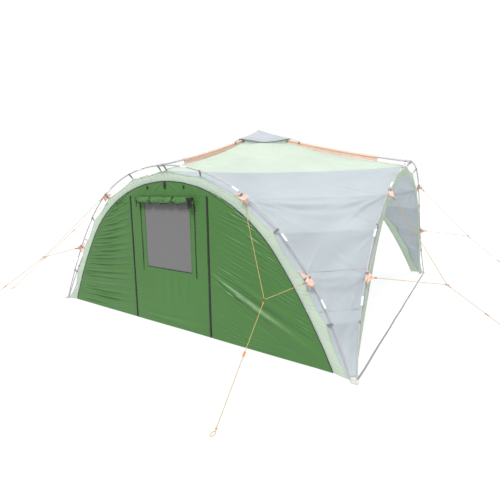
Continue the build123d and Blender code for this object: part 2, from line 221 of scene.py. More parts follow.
class Outline:
    """A symmetric arch in its own plane: a crown arc about the ground centre, then flatter legs."""

    def __init__(self, rise, foot, bend):
        self.rise, self.foot, self.bend = rise, foot, radians(bend)
        self.corner = (rise * cos(self.bend), rise * sin(self.bend))
        lean = atan2(self.corner[1], foot - self.corner[0])
        half = lean - (pi / 2 - self.bend)
        self.leg_r = hypot(self.corner[1], foot - self.corner[0]) / (2 * sin(half))
        self.centre = (self.corner[0] - self.leg_r * cos(self.bend),
                       self.corner[1] - self.leg_r * sin(self.bend))
        self.crown = rise * (pi / 2 - self.bend)
        self.length = self.crown + 2 * half * self.leg_r

    def at(self, s):
        """(u, z) at a distance s along the arch from its top; s < 0 is the other half."""
        side, s = np.where(np.asarray(s) < 0, -1.0, 1.0), np.abs(s)
        on_crown = s <= self.crown
        radius = np.where(on_crown, self.rise, self.leg_r)
        a = np.where(on_crown, pi / 2 - s / self.rise, self.bend - (s - self.crown) / self.leg_r)
        u = np.where(on_crown, 0.0, self.centre[0]) + radius * np.cos(a)
        return side * u, np.where(on_crown, 0.0, self.centre[1]) + radius * np.sin(a)

    def half_width(self, z):
        """Half the arch's width at a height."""
        leg = self.centre[0] + np.sqrt(self.leg_r ** 2 - (z - self.centre[1]) ** 2)
        crown = np.sqrt(np.maximum(self.rise ** 2 - np.asarray(z) ** 2, 0.0))
        return np.where(z >= self.corner[1], crown, leg)


POLE = Outline(POLE_RISE, POLE_FOOT, 40)
SEAM = Outline(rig.box("arch_border_front")[1].z, 2.012, 40)
EDGE = Outline(WALL_TOP + 7 * MM, 1.908, 35)
RIDGE = np.polyfit(*zip(*RIDGE_POINTS), 2)


# ---- camera ----------------------------------------------------------------------------
def make_camera():
    """The photograph's viewing angle: eye height, off the right end of the zipped wall."""
    yaw, pitch, roll = -0.622, 0.160, -0.023
    ahead = Vector((sin(yaw) * cos(pitch), cos(yaw) * cos(pitch), -sin(pitch)))
    level = Vector((cos(yaw), -sin(yaw), 0.0))
    above = level.cross(ahead)
    right = level * cos(roll) + above * sin(roll)
    up = above * cos(roll) - level * sin(roll)
    data = bpy.data.cameras.new("camera")
    data.sensor_width = 36.0
    data.lens = 25.70
    data.shift_x, data.shift_y = 0.050, -0.0193
    camera = bpy.data.objects.new("camera", data)
    axes = Matrix((right, up, -ahead)).transposed().to_4x4()
    camera.matrix_world = Matrix.Translation((2.818, -4.878, 1.634)) @ axes
    bpy.context.scene.collection.objects.link(camera)
    bpy.context.scene.camera = camera


# ---- materials -------------------------------------------------------------------------
def rgb(red, green, blue):
    """A display colour, 0 to 255, as the linear colour that shaders work in."""
    parts = np.array((red, green, blue)) / 255.0
    linear = np.where(parts <= 0.04045, parts / 12.92, ((parts + 0.055) / 1.055) ** 2.4)
    return (*linear.tolist(), 1.0)


def shade(colour, share):
    """A colour made darker or lighter."""
    return (*(min(c * share, 1.0) for c in colour[:3]), 1.0)


class Shader:
    """One material and its node tree."""

    def __init__(self, name):
        self.material = bpy.data.materials.new(name)
        self.material.use_nodes = True
        self.tree = self.material.node_tree
        self.tree.nodes.clear()
        self.out = self.tree.nodes.new("ShaderNodeOutputMaterial")

    def add(self, kind, inputs=None, **settings):
        """A node, with each input either a value or the socket that feeds it."""
        node = self.tree.nodes.new("ShaderNode" + kind)
        for key, value in settings.items():
            setattr(node, key, value)
        for key, value in (inputs or {}).items():
            if isinstance(value, bpy.types.NodeSocket):
                self.tree.links.new(value, node.inputs[key])
            else:
                node.inputs[key].default_value = value
        return node

    def mix(self, factor, a, b):
        """Colour a where factor is 0 and b where it is 1."""
        node = self.add("Mix", {0: factor, 6: a, 7: b}, data_type="RGBA")
        return node.outputs[2]

    def math(self, operation, a, b=0.0):
        return self.add("Math", {0: a, 1: b}, operation=operation).outputs[0]

    def noise(self, vector, scale, detail=3.0, rough=0.55):
        values = {"Vector": vector, "Scale": scale, "Detail": detail, "Roughness": rough}
        return self.add("TexNoise", values).outputs["Fac"]

    def waves(self, vector, period, direction, distort=0.0):
        """Bands across one direction of vector, a period apart in its own units."""
        values = {"Vector": vector, "Scale": 2 * pi / 20 / period, "Distortion": distort}
        return self.add("TexWave", values, bands_direction=direction).outputs["Fac"]

    def ramp(self, factor, low, high):
        """factor spread from 0 at low to 1 at high."""
        values = {"Value": factor, "From Min": low, "From Max": high}
        return self.add("MapRange", values).outputs["Result"]

    def surface(self, socket):
        self.tree.links.new(socket, self.out.inputs["Surface"])
        return self.material


def place_of(shader):
    return shader.add("TexCoord").outputs["Object"]


def weave_of(shader):
    return shader.add("UVMap", uv_map="weave").outputs["UV"]


def cloth_material(slot, colour, thread=2.2 * MM, rough=0.62, sheen=0.12, glow=0.15, ripstop=False):
    """Coated polyester: a plain weave, faint creases and a slightly uneven dye.

    glow is the share of the light that comes through the cloth from behind.
    """
    s = Shader(slot)
    place, weave = place_of(s), weave_of(s)
    broad = s.noise(place, 1.7, 2.0)
    fine = s.noise(place, 42.0, 4.0)
    tone = s.mix(s.ramp(broad, 0.3, 0.7), shade(colour, 0.955), shade(colour, 1.04))
    tone = s.mix(s.math("MULTIPLY", fine, 0.10), tone, shade(colour, 0.80))
    warp, weft = s.waves(weave, thread, "X"), s.waves(weave, thread, "Y")
    threads = s.math("MULTIPLY", warp, weft)
    tone = s.mix(s.math("MULTIPLY", threads, 0.10), tone, shade(colour, 1.12))
    if ripstop:
        grid = [s.ramp(s.waves(weave, 12 * MM, way), 0.93, 1.0) for way in "XY"]
        threads = s.math("ADD", threads, s.math("MAXIMUM", *grid))
    crease = s.noise(place, 14.0, 5.0, 0.62)
    height = s.math("ADD", s.math("MULTIPLY", threads, 0.05), s.math("MULTIPLY", crease, 0.9))
    bump = s.add("Bump", {"Height": height, "Strength": 0.35, "Distance": 4 * MM}).outputs[0]
    uneven = s.ramp(fine, 0.2, 0.8)
    roughness = s.math("ADD", s.math("MULTIPLY", uneven, 0.10), rough - 0.05)
    body = s.add("BsdfPrincipled", {"Base Color": tone, "Roughness": roughness, "Normal": bump,
                                    "Sheen Weight": sheen, "Sheen Roughness": 0.45,
                                    "Specular IOR Level": 0.35})
    through = s.add("BsdfTranslucent", {"Color": tone, "Normal": bump})
    both = s.add("MixShader", {0: glow, 1: body.outputs[0], 2: through.outputs[0]})
    return s.surface(both.outputs[0])


def net_material(slot, colour):
    """Fine insect netting: a square grid of threads over its own shadowed holes."""
    s = Shader(slot)
    weave = weave_of(s)
    threads = s.math("MAXIMUM", s.waves(weave, 3.2 * MM, "X"), s.waves(weave, 3.2 * MM, "Y"))
    mottle = s.noise(place_of(s), 9.0, 3.0)
    tone = s.mix(s.ramp(threads, 0.35, 0.95), shade(colour, 0.90), shade(colour, 1.07))
    tone = s.mix(s.math("MULTIPLY", mottle, 0.12), tone, shade(colour, 0.86))
    bump = s.add("Bump", {"Height": threads, "Strength": 0.3, "Distance": 0.6 * MM}).outputs[0]
    body = s.add("BsdfPrincipled", {"Base Color": tone, "Roughness": 0.85, "Normal": bump,
                                    "Specular IOR Level": 0.15})
    return s.surface(body.outputs[0])


def webbing_material(slot, colour, edge=None, rib=2.6 * MM):
    """Woven tape: ribs along it, and a tighter woven edge where UV x is near either side."""
    s = Shader(slot)
    weave, place = weave_of(s), place_of(s)
    rib_wave, cross = s.waves(weave, rib, "X"), s.waves(weave, rib * 0.6, "Y", 1.0)
    worn = s.ramp(s.noise(place, 60.0, 4.0), 0.35, 0.75)
    tone = s.mix(rib_wave, shade(colour, 0.82), shade(colour, 1.12))
    tone = s.mix(s.math("MULTIPLY", worn, 0.25), tone, shade(colour, 1.5))
    if edge is not None:
        side = s.add("Attribute", attribute_name="selvedge").outputs["Fac"]
        tone = s.mix(side, tone, edge)
    height = s.math("ADD", rib_wave, s.math("MULTIPLY", cross, 0.5))
    bump = s.add("Bump", {"Height": height, "Strength": 0.5, "Distance": 0.5 * MM}).outputs[0]
    body = s.add("BsdfPrincipled", {"Base Color": tone, "Roughness": 0.72, "Normal": bump,
                                    "Sheen Weight": 0.08})
    return s.surface(body.outputs[0])


def rope_material(slot, colour):
    """Braided cord: two sets of slanted strands and a darker fleck."""
    s = Shader(slot)
    place = place_of(s)
    strands = s.add("TexVoronoi", {"Vector": place, "Scale": 420.0}).outputs["Distance"]
    fleck = s.ramp(s.noise(place, 190.0, 2.0), 0.55, 0.62)
    tone = s.mix(s.ramp(strands, 0.1, 0.7), shade(colour, 1.15), shade(colour, 0.72))
    tone = s.mix(s.math("MULTIPLY", fleck, 0.45), tone, shade(colour, 0.45))
    bump = s.add("Bump", {"Height": strands, "Strength": 0.6, "Distance": 0.4 * MM}).outputs[0]
    body = s.add("BsdfPrincipled", {"Base Color": tone, "Roughness": 0.68, "Normal": bump,
                                    "Sheen Weight": 0.1})
    return s.surface(body.outputs[0])


def plastic_material(slot, colour, rough=0.42):
    """Moulded nylon: a fine spark-eroded grain, scuffed a little lighter."""
    s = Shader(slot)
    place = place_of(s)
    grain = s.noise(place, 900.0, 2.0)
    scuff = s.ramp(s.noise(place, 35.0, 5.0, 0.7), 0.55, 0.75)
    tone = s.mix(s.math("MULTIPLY", scuff, 0.3), colour, shade(colour, 1.45))
    roughness = s.math("ADD", s.math("MULTIPLY", scuff, 0.2), rough)
    bump = s.add("Bump", {"Height": grain, "Strength": 0.25, "Distance": 0.2 * MM}).outputs[0]
    body = s.add("BsdfPrincipled", {"Base Color": tone, "Roughness": roughness, "Normal": bump})
    return s.surface(body.outputs[0])


def metal_material(slot, colour, rough=0.35, metallic=0.85):
    """Drawn or plated metal: fine lengthways scratches and handling marks."""
    s = Shader(slot)
    place = place_of(s)
    scratch = s.noise(place, 420.0, 3.0, 0.7)
    marks = s.ramp(s.noise(place, 8.0, 6.0, 0.65), 0.42, 0.72)
    tone = s.mix(s.math("MULTIPLY", marks, 0.3), colour, shade(colour, 0.72))
    roughness = s.math("ADD", s.math("MULTIPLY", marks, 0.18), rough)
    bump = s.add("Bump", {"Height": scratch, "Strength": 0.2, "Distance": 0.1 * MM}).outputs[0]
    body = s.add("BsdfPrincipled", {"Base Color": tone, "Roughness": roughness, "Normal": bump,
                                    "Metallic": metallic})
    return s.surface(body.outputs[0])


def make_materials():
    """Every material slot of the record, by name."""
    grey_edge = rgb(104, 104, 108)
    return {
        "arch_pole": metal_material("arch_pole", rgb(184, 182, 184), 0.42, 0.15),
        "ridge_pole": metal_material("ridge_pole", rgb(184, 182, 184), 0.42, 0.15),
        "ferrule": metal_material("ferrule", rgb(246, 246, 248), 0.30, 0.15),
        "hub_plastic": plastic_material("hub_plastic", rgb(172, 172, 176)),
        "foot_plastic": plastic_material("foot_plastic", rgb(196, 196, 190)),
        "strap": webbing_material("strap", rgb(138, 137, 142), grey_edge),
        "canopy_grey": cloth_material("canopy_grey", rgb(213, 219, 223), ripstop=True, glow=0.54),
        "roof_green": cloth_material("roof_green", rgb(216, 227, 215), ripstop=True, glow=0.40),
        "border_green": cloth_material("border_green", rgb(223, 234, 221), glow=0.56),
        "orange_cloth": cloth_material("orange_cloth", rgb(252, 214, 196), thread=3 * MM, glow=0.22),
        "cap_cloth": cloth_material("cap_cloth", rgb(205, 209, 215), glow=0.35),
        "wall_green": cloth_material("wall_green", rgb(75, 121, 62), rough=0.40, glow=0.05),
        "insect_mesh": net_material("insect_mesh", rgb(118, 118, 118)),
        "zip_tape": webbing_material("zip_tape", rgb(30, 31, 30)),
        "zip_metal": metal_material("zip_metal", rgb(120, 118, 115), 0.35),
        "elastic": webbing_material("elastic", rgb(22, 24, 22), rib=1.5 * MM),
        "rope": rope_material("rope", rgb(210, 176, 114)),
        "line_plastic": plastic_material("line_plastic", rgb(214, 134, 62)),
        "ring_steel": metal_material("ring_steel", rgb(112, 98, 82), 0.35),
        "toggle_plastic": plastic_material("toggle_plastic", rgb(30, 34, 30)),
    }


# ---- mesh building ---------------------------------------------------------------------
def turn(points, side):
    """Points drawn on the front side, moved round to another side."""
    angle = pi / 2 * side
    c, s = round(cos(angle)), round(sin(angle))
    x, y = points[..., 0], points[..., 1]
    return stack(c * x - s * y, s * x + c * y, points[..., 2])


def stack(*parts):
    """Coordinates, each an array or one value, joined on a last axis."""
    return np.stack(np.broadcast_arrays(*parts), axis=-1)


def spread(down, across):
    """Two lines of values as a grid of each, rows by columns."""
    return np.meshgrid(down, across, indexing="ij")


def add_piece(name, mesh, slot, body=BODY, replaces=()):
    """Puts a mesh or curve in the scene, with its material, its body and the nodes it stands for."""
    piece = bpy.data.objects.new(name, mesh)
    bpy.context.scene.collection.objects.link(piece)
    mesh.materials.append(MATERIALS[slot])
    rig.ride(piece, body)
    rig.slot(piece, slot)
    if replaces:
        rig.replaces(piece, *replaces)
    return piece


def grid_mesh(name, points, uv, wrap_rows=False, wrap_cols=False, keep=None):
    """A smooth mesh over a (rows, columns, 3) array of points, with UVs in metres.

    keep is a (rows - 1, columns - 1) array, False where a hole is left.
    """
    rows, cols = points.shape[:2]
    i = np.arange(rows if wrap_rows else rows - 1)[:, None]
    j = np.arange(cols if wrap_cols else cols - 1)[None, :]
    below, beside = (i + 1) % rows, (j + 1) % cols
    quads = stack(i * cols + j, i * cols + beside, below * cols + beside, below * cols + j)
    quads = quads.reshape(-1, 4) if keep is None else quads[keep]
    mesh = bpy.data.meshes.new(name)
    mesh.from_pydata(points.reshape(-1, 3).tolist(), [], quads.tolist())
    layer = mesh.uv_layers.new(name="weave")
    layer.data.foreach_set("uv", uv.reshape(-1, 2)[quads.ravel()].astype(np.float32).ravel())
    mesh.polygons.foreach_set("use_smooth", np.ones(len(quads), bool))
    mesh.update()
    return mesh


def thicken(piece, thickness, offset=0.0):
    solid = piece.modifiers.new("thickness", "SOLIDIFY")
    solid.thickness = thickness
    solid.offset = offset
    solid.use_even_offset = False
    return piece


def lengths(points):
    """Distance along rows of points, from 0."""
    steps = np.linalg.norm(np.diff(points, axis=0), axis=-1)
    return np.concatenate([[0.0], np.cumsum(steps)])


def frames(path):
    """Tangent and two cross directions at each point of a path, turned as little as possible."""
    tangent = np.gradient(path, axis=0)
    tangent /= np.linalg.norm(tangent, axis=1)[:, None]
    start = np.array((0.0, 0.0, 1.0)) if abs(tangent[0][2]) < 0.8 else np.array((1.0, 0.0, 0.0))
    across, out = [], start
    for t in tangent:
        out = out - t * (out @ t)
        out = out / np.linalg.norm(out)
        across.append(out)
    across = np.array(across)
    return tangent, across, np.cross(tangent, across)


def tube_mesh(name, path, radius, sides=8, closed=False, flat=1.0):
    """A round or flattened tube along a path, with domed ends where it is open."""
    path = np.asarray(path, float)
    if closed:
        path = np.concatenate([path, path[:1]])
    _, first, second = frames(path)
    radius = np.broadcast_to(np.asarray(radius, float), len(path)).copy()
    if not closed:
        radius[[0, -1]] *= 0.55
    angle = np.linspace(0, 2 * pi, sides, endpoint=False)
    ring = (first[:, None] * np.cos(angle)[None, :, None]
            + second[:, None] * (flat * np.sin(angle))[None, :, None])
    points = path[:, None] + ring * radius[:, None, None]
    along = lengths(path)
    uv = stack(angle[None] * radius.max(), along[:, None])
    if closed:
        points, uv = points[:-1], uv[:-1]
    mesh = grid_mesh(name, points, uv, wrap_rows=closed, wrap_cols=True)
    if not closed:
        cap_ends(mesh, len(points), sides)
    return mesh


def tube_piece(name, path, radius, slot, body=BODY, replaces=(), **shape):
    """A tube as a piece of its own."""
    return add_piece(name, tube_mesh(name, path, radius, **shape), slot, body, replaces)


def cloth_piece(name, points, uv, slot, thick, body=BODY, replaces=(), **shape):
    """A sheet as a piece of its own, as thick as its cloth."""
    return thicken(add_piece(name, grid_mesh(name, points, uv, **shape), slot, body, replaces),
                   thick)


def cap_ends(mesh, rows, sides):
    """Closes both ends of a tube made of rings."""
    verts = [tuple(v.co) for v in mesh.vertices]
    faces = [tuple(p.vertices) for p in mesh.polygons]
    faces.append(tuple(range(sides))[::-1])
    faces.append(tuple((rows - 1) * sides + k for k in range(sides)))
    uvs = np.zeros(len(mesh.loops) * 2, np.float32)
    mesh.uv_layers["weave"].data.foreach_get("uv", uvs)
    mesh.clear_geometry()
    mesh.from_pydata(verts, [], faces)
    layer = mesh.uv_layers.get("weave") or mesh.uv_layers.new(name="weave")
    layer.data.foreach_set("uv", np.concatenate([uvs, np.zeros(4 * sides, np.float32)]))
    mesh.polygons.foreach_set("use_smooth", np.ones(len(faces), bool))
    mesh.update()


def normals_of(points):
    """Unit normals of a grid of points."""
    down, over = np.gradient(points, axis=0), np.gradient(points, axis=1)
    normal = np.cross(over, down)
    return normal / np.maximum(np.linalg.norm(normal, axis=-1), 1e-9)[..., None]


def lift(points, folds):
    """How far a sheet's folds lift it at each point, in the points' own coordinates.

    A fold is (points of its crest, width, height). It is sharp where it starts and opens out,
    and the cloth dips a little on both sides of it.
    """
    flat = points.reshape(-1, points.shape[-1])
    total = np.zeros(len(flat))
    for crest, width, height in folds:
        crest = np.array(crest, float)
        at = lengths(crest)
        at /= at[-1]
        low, high = crest.min(0) - 5 * width, crest.max(0) + 5 * width
        near = ((flat > low) & (flat < high)).all(1)
        here = flat[near]
        away, share = np.full(len(here), 1e9), np.zeros(len(here))
        for a, b, a_at, b_at in zip(crest, crest[1:], at, at[1:]):
            run = b - a
            t = np.clip((here - a) @ run / (run @ run), 0, 1)
            distance = np.linalg.norm(here - a - t[:, None] * run, axis=1)
            share = np.where(distance < away, a_at + (b_at - a_at) * t, share)
            away = np.minimum(away, distance)
        open_w = width * (0.55 + 0.9 * share)
        swell = np.sin(pi * np.clip(0.06 + 0.9 * share, 0, 1)) ** 0.7
        profile = np.exp(-(away / open_w) ** 2)
        profile -= 0.40 * np.exp(-((away - 1.9 * open_w) / open_w) ** 2)
        total[near] += height * swell * profile
    return total.reshape(points.shape[:-1])


def ripple(rng, at, pitch, waves=7):
    """A smooth uneven wave along a line, between -1 and 1, with about that pitch."""
    total = np.zeros_like(at)
    for _ in range(waves):
        total += np.sin(at * 2 * pi / (pitch * rng.uniform(0.7, 1.5)) + rng.uniform(0, 2 * pi))
    return total / waves ** 0.5 / 1.6


# ---- places on the frame ---------------------------------------------------------------
def pole_point(s):
    """A point on the front arch pole's centreline, with the inward bow of its legs."""
    u, z = POLE.at(s)
    t = min(max(float(z), 0.0) / POLE_RISE, 1.0)
    return np.array((float(u), -(HALF_SIDE - LEG_BOW * 4 * t * (1 - t)), float(z)))


class PoleFrame:
    """Axes at a point of the front pole: x to the cloth's seam, z along the pole from its top."""

    def __init__(self, s):
        self.origin = pole_point(s)
        along = pole_point(s + MM) - pole_point(s - MM)
        self.z = along / np.linalg.norm(along) * (1 if s >= 0 else -1)
        u, z = SEAM.at(s * SEAM.length / POLE.length)
        to_seam = np.array((float(u), -CLOTH, float(z))) - self.origin
        flat = to_seam - self.z * (to_seam @ self.z)
        self.reach = float(np.linalg.norm(flat))
        self.x = flat / self.reach
        self.y = np.cross(self.z, self.x)
        self.over = 1.0 if -self.y[1] > 0 else -1.0

    def point(self, local):
        """A point, or an array of points, from local coordinates. Local y is outwards."""
        local = np.asarray(local, float)
        return (self.origin + local[..., :1] * self.x + local[..., 1:2] * self.over * self.y
                + local[..., 2:] * self.z)


def seam_inset(s):
    """How far the cloth's outer edge is drawn in between the straps that hold it."""
    held = np.array(STRAP_AT) * SEAM.length / POLE.length
    stops = np.concatenate([[-held[0]], held, [SEAM.length]])
    s = np.abs(s)
    k = np.clip(np.searchsorted(stops, s) - 1, 0, len(stops) - 2)
    gap = stops[k + 1] - stops[k]
    t = np.clip((s - stops[k]) / gap, 0, 1)
    return 0.066 * gap * np.sin(pi * t) ** 0.8


def foot_pull(z):
    """How far the cloth's outer edge is drawn out to the foot of its pole, at a height."""
    return 0.036 * np.clip(1 - z / 0.30, 0, 1) ** 2


def seam_point(s):
    """(u, z) of the cloth's scalloped outer edge."""
    u, z = SEAM.at(s)
    reach = np.hypot(u, z)
    inset = seam_inset(s)
    return u - inset * u / reach, z - inset * z / reach


def ridge_z(reach):
    return np.polyval(RIDGE, reach)


# ---- guy lines -------------------------------------------------------------------------
# Side and leg that each line holds, the ring where its bridle meets, and its peg.
GUYS = {
    "front_right": (0, 1, (1.465, -2.465, 0.706), (1.495, -3.195, 0.006)),
    "front_left": (0, -1, (-1.746, -2.551, 0.736), (-2.310, -3.415, 0.006)),
    "left_front": (3, 1, (-2.535, -1.617, 0.931), (-3.330, -2.295, 0.006)),
    "right_front": (1, -1, (2.616, -1.080, 0.655), (3.330, -0.610, 0.006)),
    "right_back": (1, 1, (2.700, 1.470, 0.776), (3.560, 1.648, 0.006)),
}
STRAIGHT = 30 * MM       # the point on a straight run beside a ring or a knot


def rope_curve(name, points, diameter):
    """A smooth line through the route's points, as thick as the rope."""
    curve = bpy.data.curves.new(name, "CURVE")
    curve.dimensions = "3D"
    spline = curve.splines.new("NURBS")
    spline.points.add(len(points) - 1)
    for knot, at in zip(spline.points, points):
        knot.co = (*at, 1.0)
    spline.order_u = 3
    spline.use_endpoint_u = True
    spline.resolution_u = 10
    curve.resolution_u = 10
    curve.bevel_depth = diameter / 2
    curve.bevel_resolution = 3
    curve.use_fill_caps = True
    return curve


def unit(v):
    return v / np.linalg.norm(v)


def knot_mesh(name, centre, along, size, turns=3):
    """A small round knot: one cord wound over itself about the line's direction."""
    side = unit(np.cross(along, (0.0, 0.0, 1.0)))
    up = np.cross(side, along)
    t = np.linspace(0, 2 * pi, 120, endpoint=False)
    radius = size * (0.62 + 0.30 * np.cos(turns * t))
    path = (centre + along * (size * 0.85 * np.sin(turns * t))[:, None]
            + side * (radius * np.cos(2 * t))[:, None] + up * (radius * np.sin(2 * t))[:, None])
    return tube_mesh(name, path, ROPE_D / 2 * 0.92, 8, closed=True)


def loop_mesh(name, start, along):
    """The loop at the line's far end, which goes round a peg, lying on the ground."""
    side = unit(np.cross(along, (0.0, 0.0, 1.0)))
    ahead = unit(np.array((along[0], along[1], 0.0)))
    t = np.linspace(0, 2 * pi, 48, endpoint=False)
    long, wide = 26 * MM, 13 * MM
    path = (start + ahead * (long * (1 - np.cos(t)))[:, None] + side * (wide * np.sin(t))[:, None])
    path[:, 2] = start[2] - 2.6 * MM + 1.2 * MM * (1 + np.cos(t))
    path[:, 2] = np.maximum(path[:, 2], ROPE_D / 2 + 0.3 * MM)
    return tube_mesh(name, path, ROPE_D / 2 * 0.92, 8, closed=True)


TIP_ALONG = {GUSSET_AT[0]: 26 * MM, GUSSET_AT[1]: 30 * MM}
FLAP = 52 * MM           # how far a gusset's point is drawn out
FLAP_WIDE, FLAP_NARROW = 58 * MM, 7 * MM


def tip_of(side, leg, at):
    """Where the bridle leaves a gusset, just outside its cloth."""
    return turn(PoleFrame(leg * at).point((5 * MM, 24 * MM, TIP_ALONG[at])), side)


def pull_of(side, leg, at):
    """The way a gusset is drawn: to the ring of its guy line, or outwards and down."""
    for guyed_side, guyed_leg, meet, _ in GUYS.values():
        if (guyed_side, guyed_leg) == (side, leg):
            return unit(np.array(meet) - tip_of(side, leg, at))
    return turn(np.array((0.0, -0.75, -0.66)), side)


def make_guys():
    for name, (side, leg, ring_at, peg_at) in GUYS.items():
        meet, peg = np.array(ring_at), np.array(peg_at)
        upper, lower = (tip_of(side, leg, at) for at in GUSSET_AT)
        to_upper, to_lower, run = unit(upper - meet), unit(lower - meet), unit(peg - meet)
        across = unit(to_lower - to_upper)
        turns = [meet - across * 4.5 * MM, meet + across * 4.5 * MM]
        start = upper + unit(turns[0] - upper) * 5 * MM
        end = lower + unit(turns[1] - lower) * 5 * MM
        route = [start, turns[0] + to_upper * STRAIGHT, *turns, turns[1] + to_lower * STRAIGHT, end]
        length = sum(float(np.linalg.norm(b - a)) for a, b in zip(route, route[1:]))
        bridle = add_piece(f"bridle_rope_{name}", rope_curve(f"bridle_{name}", route, ROPE_D),
                           "rope", BODY, (f"bridle_{name}",))
        ties = []
        for which, tip, ahead in (("upper", start, to_upper), ("lower", end, to_lower)):
            mesh = knot_mesh(f"tie_{which}_{name}", tip - ahead * (FLAP + 24 * MM), ahead, 4.5 * MM)
            ties.append(add_piece(f"bridle_tie_{which}_{name}", mesh, "rope", BODY))
        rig.cord(bridle, exit=start, length=length, diameter=ROPE_D, far_end="object",
                stiffness="limp", lay="taut", with_pieces=ties)

        inward = unit(to_upper + to_lower)
        wire = meet + inward * (ROPE_D / 2 + 3.1 * MM)
        top = wire + run * (2 * RING_R + 3 * MM)
        line_route = [top, top + run * STRAIGHT, peg - run * STRAIGHT, peg]
        line = add_piece(f"guy_rope_{name}", rope_curve(f"guy_{name}", line_route, ROPE_D),
                         "rope", BODY, (f"guy_line_{name}",))
        sleeve = np.linspace(top + run * 3 * MM, top + run * 38 * MM, 7)
        knots = [("ring_sleeve", tube_mesh(f"ring_sleeve_{name}", sleeve, 4.6 * MM, 12),
                  "line_plastic"),
                 ("peg_knot", knot_mesh(f"peg_knot_{name}", peg - run * 18 * MM, run, 6 * MM), "rope"),
                 ("peg_loop", loop_mesh(f"peg_loop_{name}", peg, run), "rope")]
        with_line = [add_piece(f"{what}_{name}", mesh, slot, BODY) for what, mesh, slot in knots]
        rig.cord(line, exit=top, length=float(np.linalg.norm(peg - top)), diameter=ROPE_D,
                far_end="knot", stiffness="limp", lay="taut", with_pieces=with_line)


# ---- canopy ----------------------------------------------------------------------------
CANOPY_T = 1.6 * MM


def declare(piece, flat, area, held="stretched", rests_on=(), with_pieces=()):
    """Says how a sheet was cut and how it is held."""
    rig.sheet(piece, flat=flat, held=held, rests_on=list(rests_on), area=area,
             with_pieces=list(with_pieces))


def area_of(points):
    """Area of a grid of points."""
    a = np.cross(points[1:, :-1] - points[:-1, :-1], points[:-1, 1:] - points[:-1, :-1])
    b = np.cross(points[1:, :-1] - points[1:, 1:], points[:-1, 1:] - points[1:, 1:])
    return float((np.linalg.norm(a, axis=-1) + np.linalg.norm(b, axis=-1)).sum() / 2)


def flat_size(points):
    """Width and length of the cut that a grid of points takes, and its area."""
    across = np.linalg.norm(np.diff(points, axis=1), axis=-1).sum(1).max()
    down = np.linalg.norm(np.diff(points, axis=0), axis=-1).sum(0).max()
    return (round(float(across), 3), round(float(down), 3)), area_of(points)


def corner_base(s, v):
    """The saddle between two arches: s runs down their seams and v from one to the other."""
    u, z = seam_point(s)
    out = foot_pull(z)
    front, right = stack(u + out, -CLOTH - out, z), stack(CLOTH + out, -u - out, z)
    flat = front + (right - front) * v[..., None]
    # The top edge hangs a little where the roof panel is sewn to it.
    sag = 0.045 * np.exp(-s / 0.25) * 4 * v * (1 - v)
    flat[..., 2] -= sag
    return flat


def corner_folds(rng):
    """Crests of the folds on one corner panel, as (s, v) routes with a width and a height."""
    folds = []
    held = [at * SEAM.length / POLE.length for at in STRAP_AT]
    for edge in (0, 1):
        def inwards(v, edge=edge):
            return v if edge == 0 else 1 - v
        for at in held[1:]:
            strong = at in (held[2], held[4])
            count = 7 if strong else 4
            for k in range(count):
                spread = (k + 0.5) / count - 0.5 + rng.uniform(-0.06, 0.06)
                reach = rng.uniform(0.22, 0.42) if strong else rng.uniform(0.10, 0.22)
                reach *= 1.0 + 0.5 * (at / SEAM.length)
                fall = at + spread * (0.95 if strong else 0.6)
                bend = at + spread * 0.30
                route = [(at, inwards(0.01)), (bend, inwards(0.4 * reach)), (fall, inwards(reach))]
                height = rng.uniform(3, 6) * MM * (1.1 if at == held[2] else 0.6)
                folds.append((route, rng.uniform(12, 24) * MM, height))
    # Two long swags hang from gusset to gusset.
    for at, dip, width, height in ((held[2], 0.10, 0.036, 0.011), (held[2], 0.24, 0.036, 0.005),
                                   (held[4], 0.08, 0.032, 0.005)):
        route = [(at + dip * 4 * v * (1 - v), v) for v in np.linspace(0.01, 0.99, 9)]
        folds.append((route, width, height))
    return folds


def make_corner_panel(side, name, rng):
    s, v = spread(np.linspace(8 * MM, SEAM.length - 18 * MM, 200), np.linspace(0, 1, 190))
    points = corner_base(s, v)
    folds = []
    for route, width, height in corner_folds(rng):
        at, across = np.array(route).T
        folds.append((corner_base(at, across), width, height))
    margin = np.clip(np.minimum(v, 1 - v) * 26, 0, 1)
    out = lift(points, folds) * (0.25 + 0.75 * margin)
    drum = 0.006 * ripple(rng, s + 0.6 * v, 0.42) * np.sin(pi * v)
    points = points - normals_of(points) * (out + drum)[..., None]
    uv = stack((v - 0.5) * 2.9, s)
    points = turn(points, side)
    piece = cloth_piece(f"corner_cloth_{name}", points, uv, "canopy_grey", CANOPY_T,
                        replaces=(f"corner_panel_{name}",))
    declare(piece, *flat_size(points), rests_on=["pole_straps"])


def make_corner_seams(side, name):
    """Flat-felled seams across the foot of a corner panel, where its panels join."""
    for k, at in enumerate((0.668, 0.80)):
        s = at * SEAM.length
        v = np.linspace(0.004, 0.996, 90)
        middle = corner_base(np.full_like(v, s), v)
        above = corner_base(np.full_like(v, s - 7 * MM), v)
        out = np.array((1.0, -1.0, 0.0)) / 2 ** 0.5 * 0.9 * MM
        points = turn(np.stack([above, middle]) + out, side)
        uv = stack(np.array([[0.0], [0.012]]), lengths(middle)[None])
        cloth_piece(f"corner_seam_{name}_{k}", points, uv, "canopy_grey", 1.0 * MM)


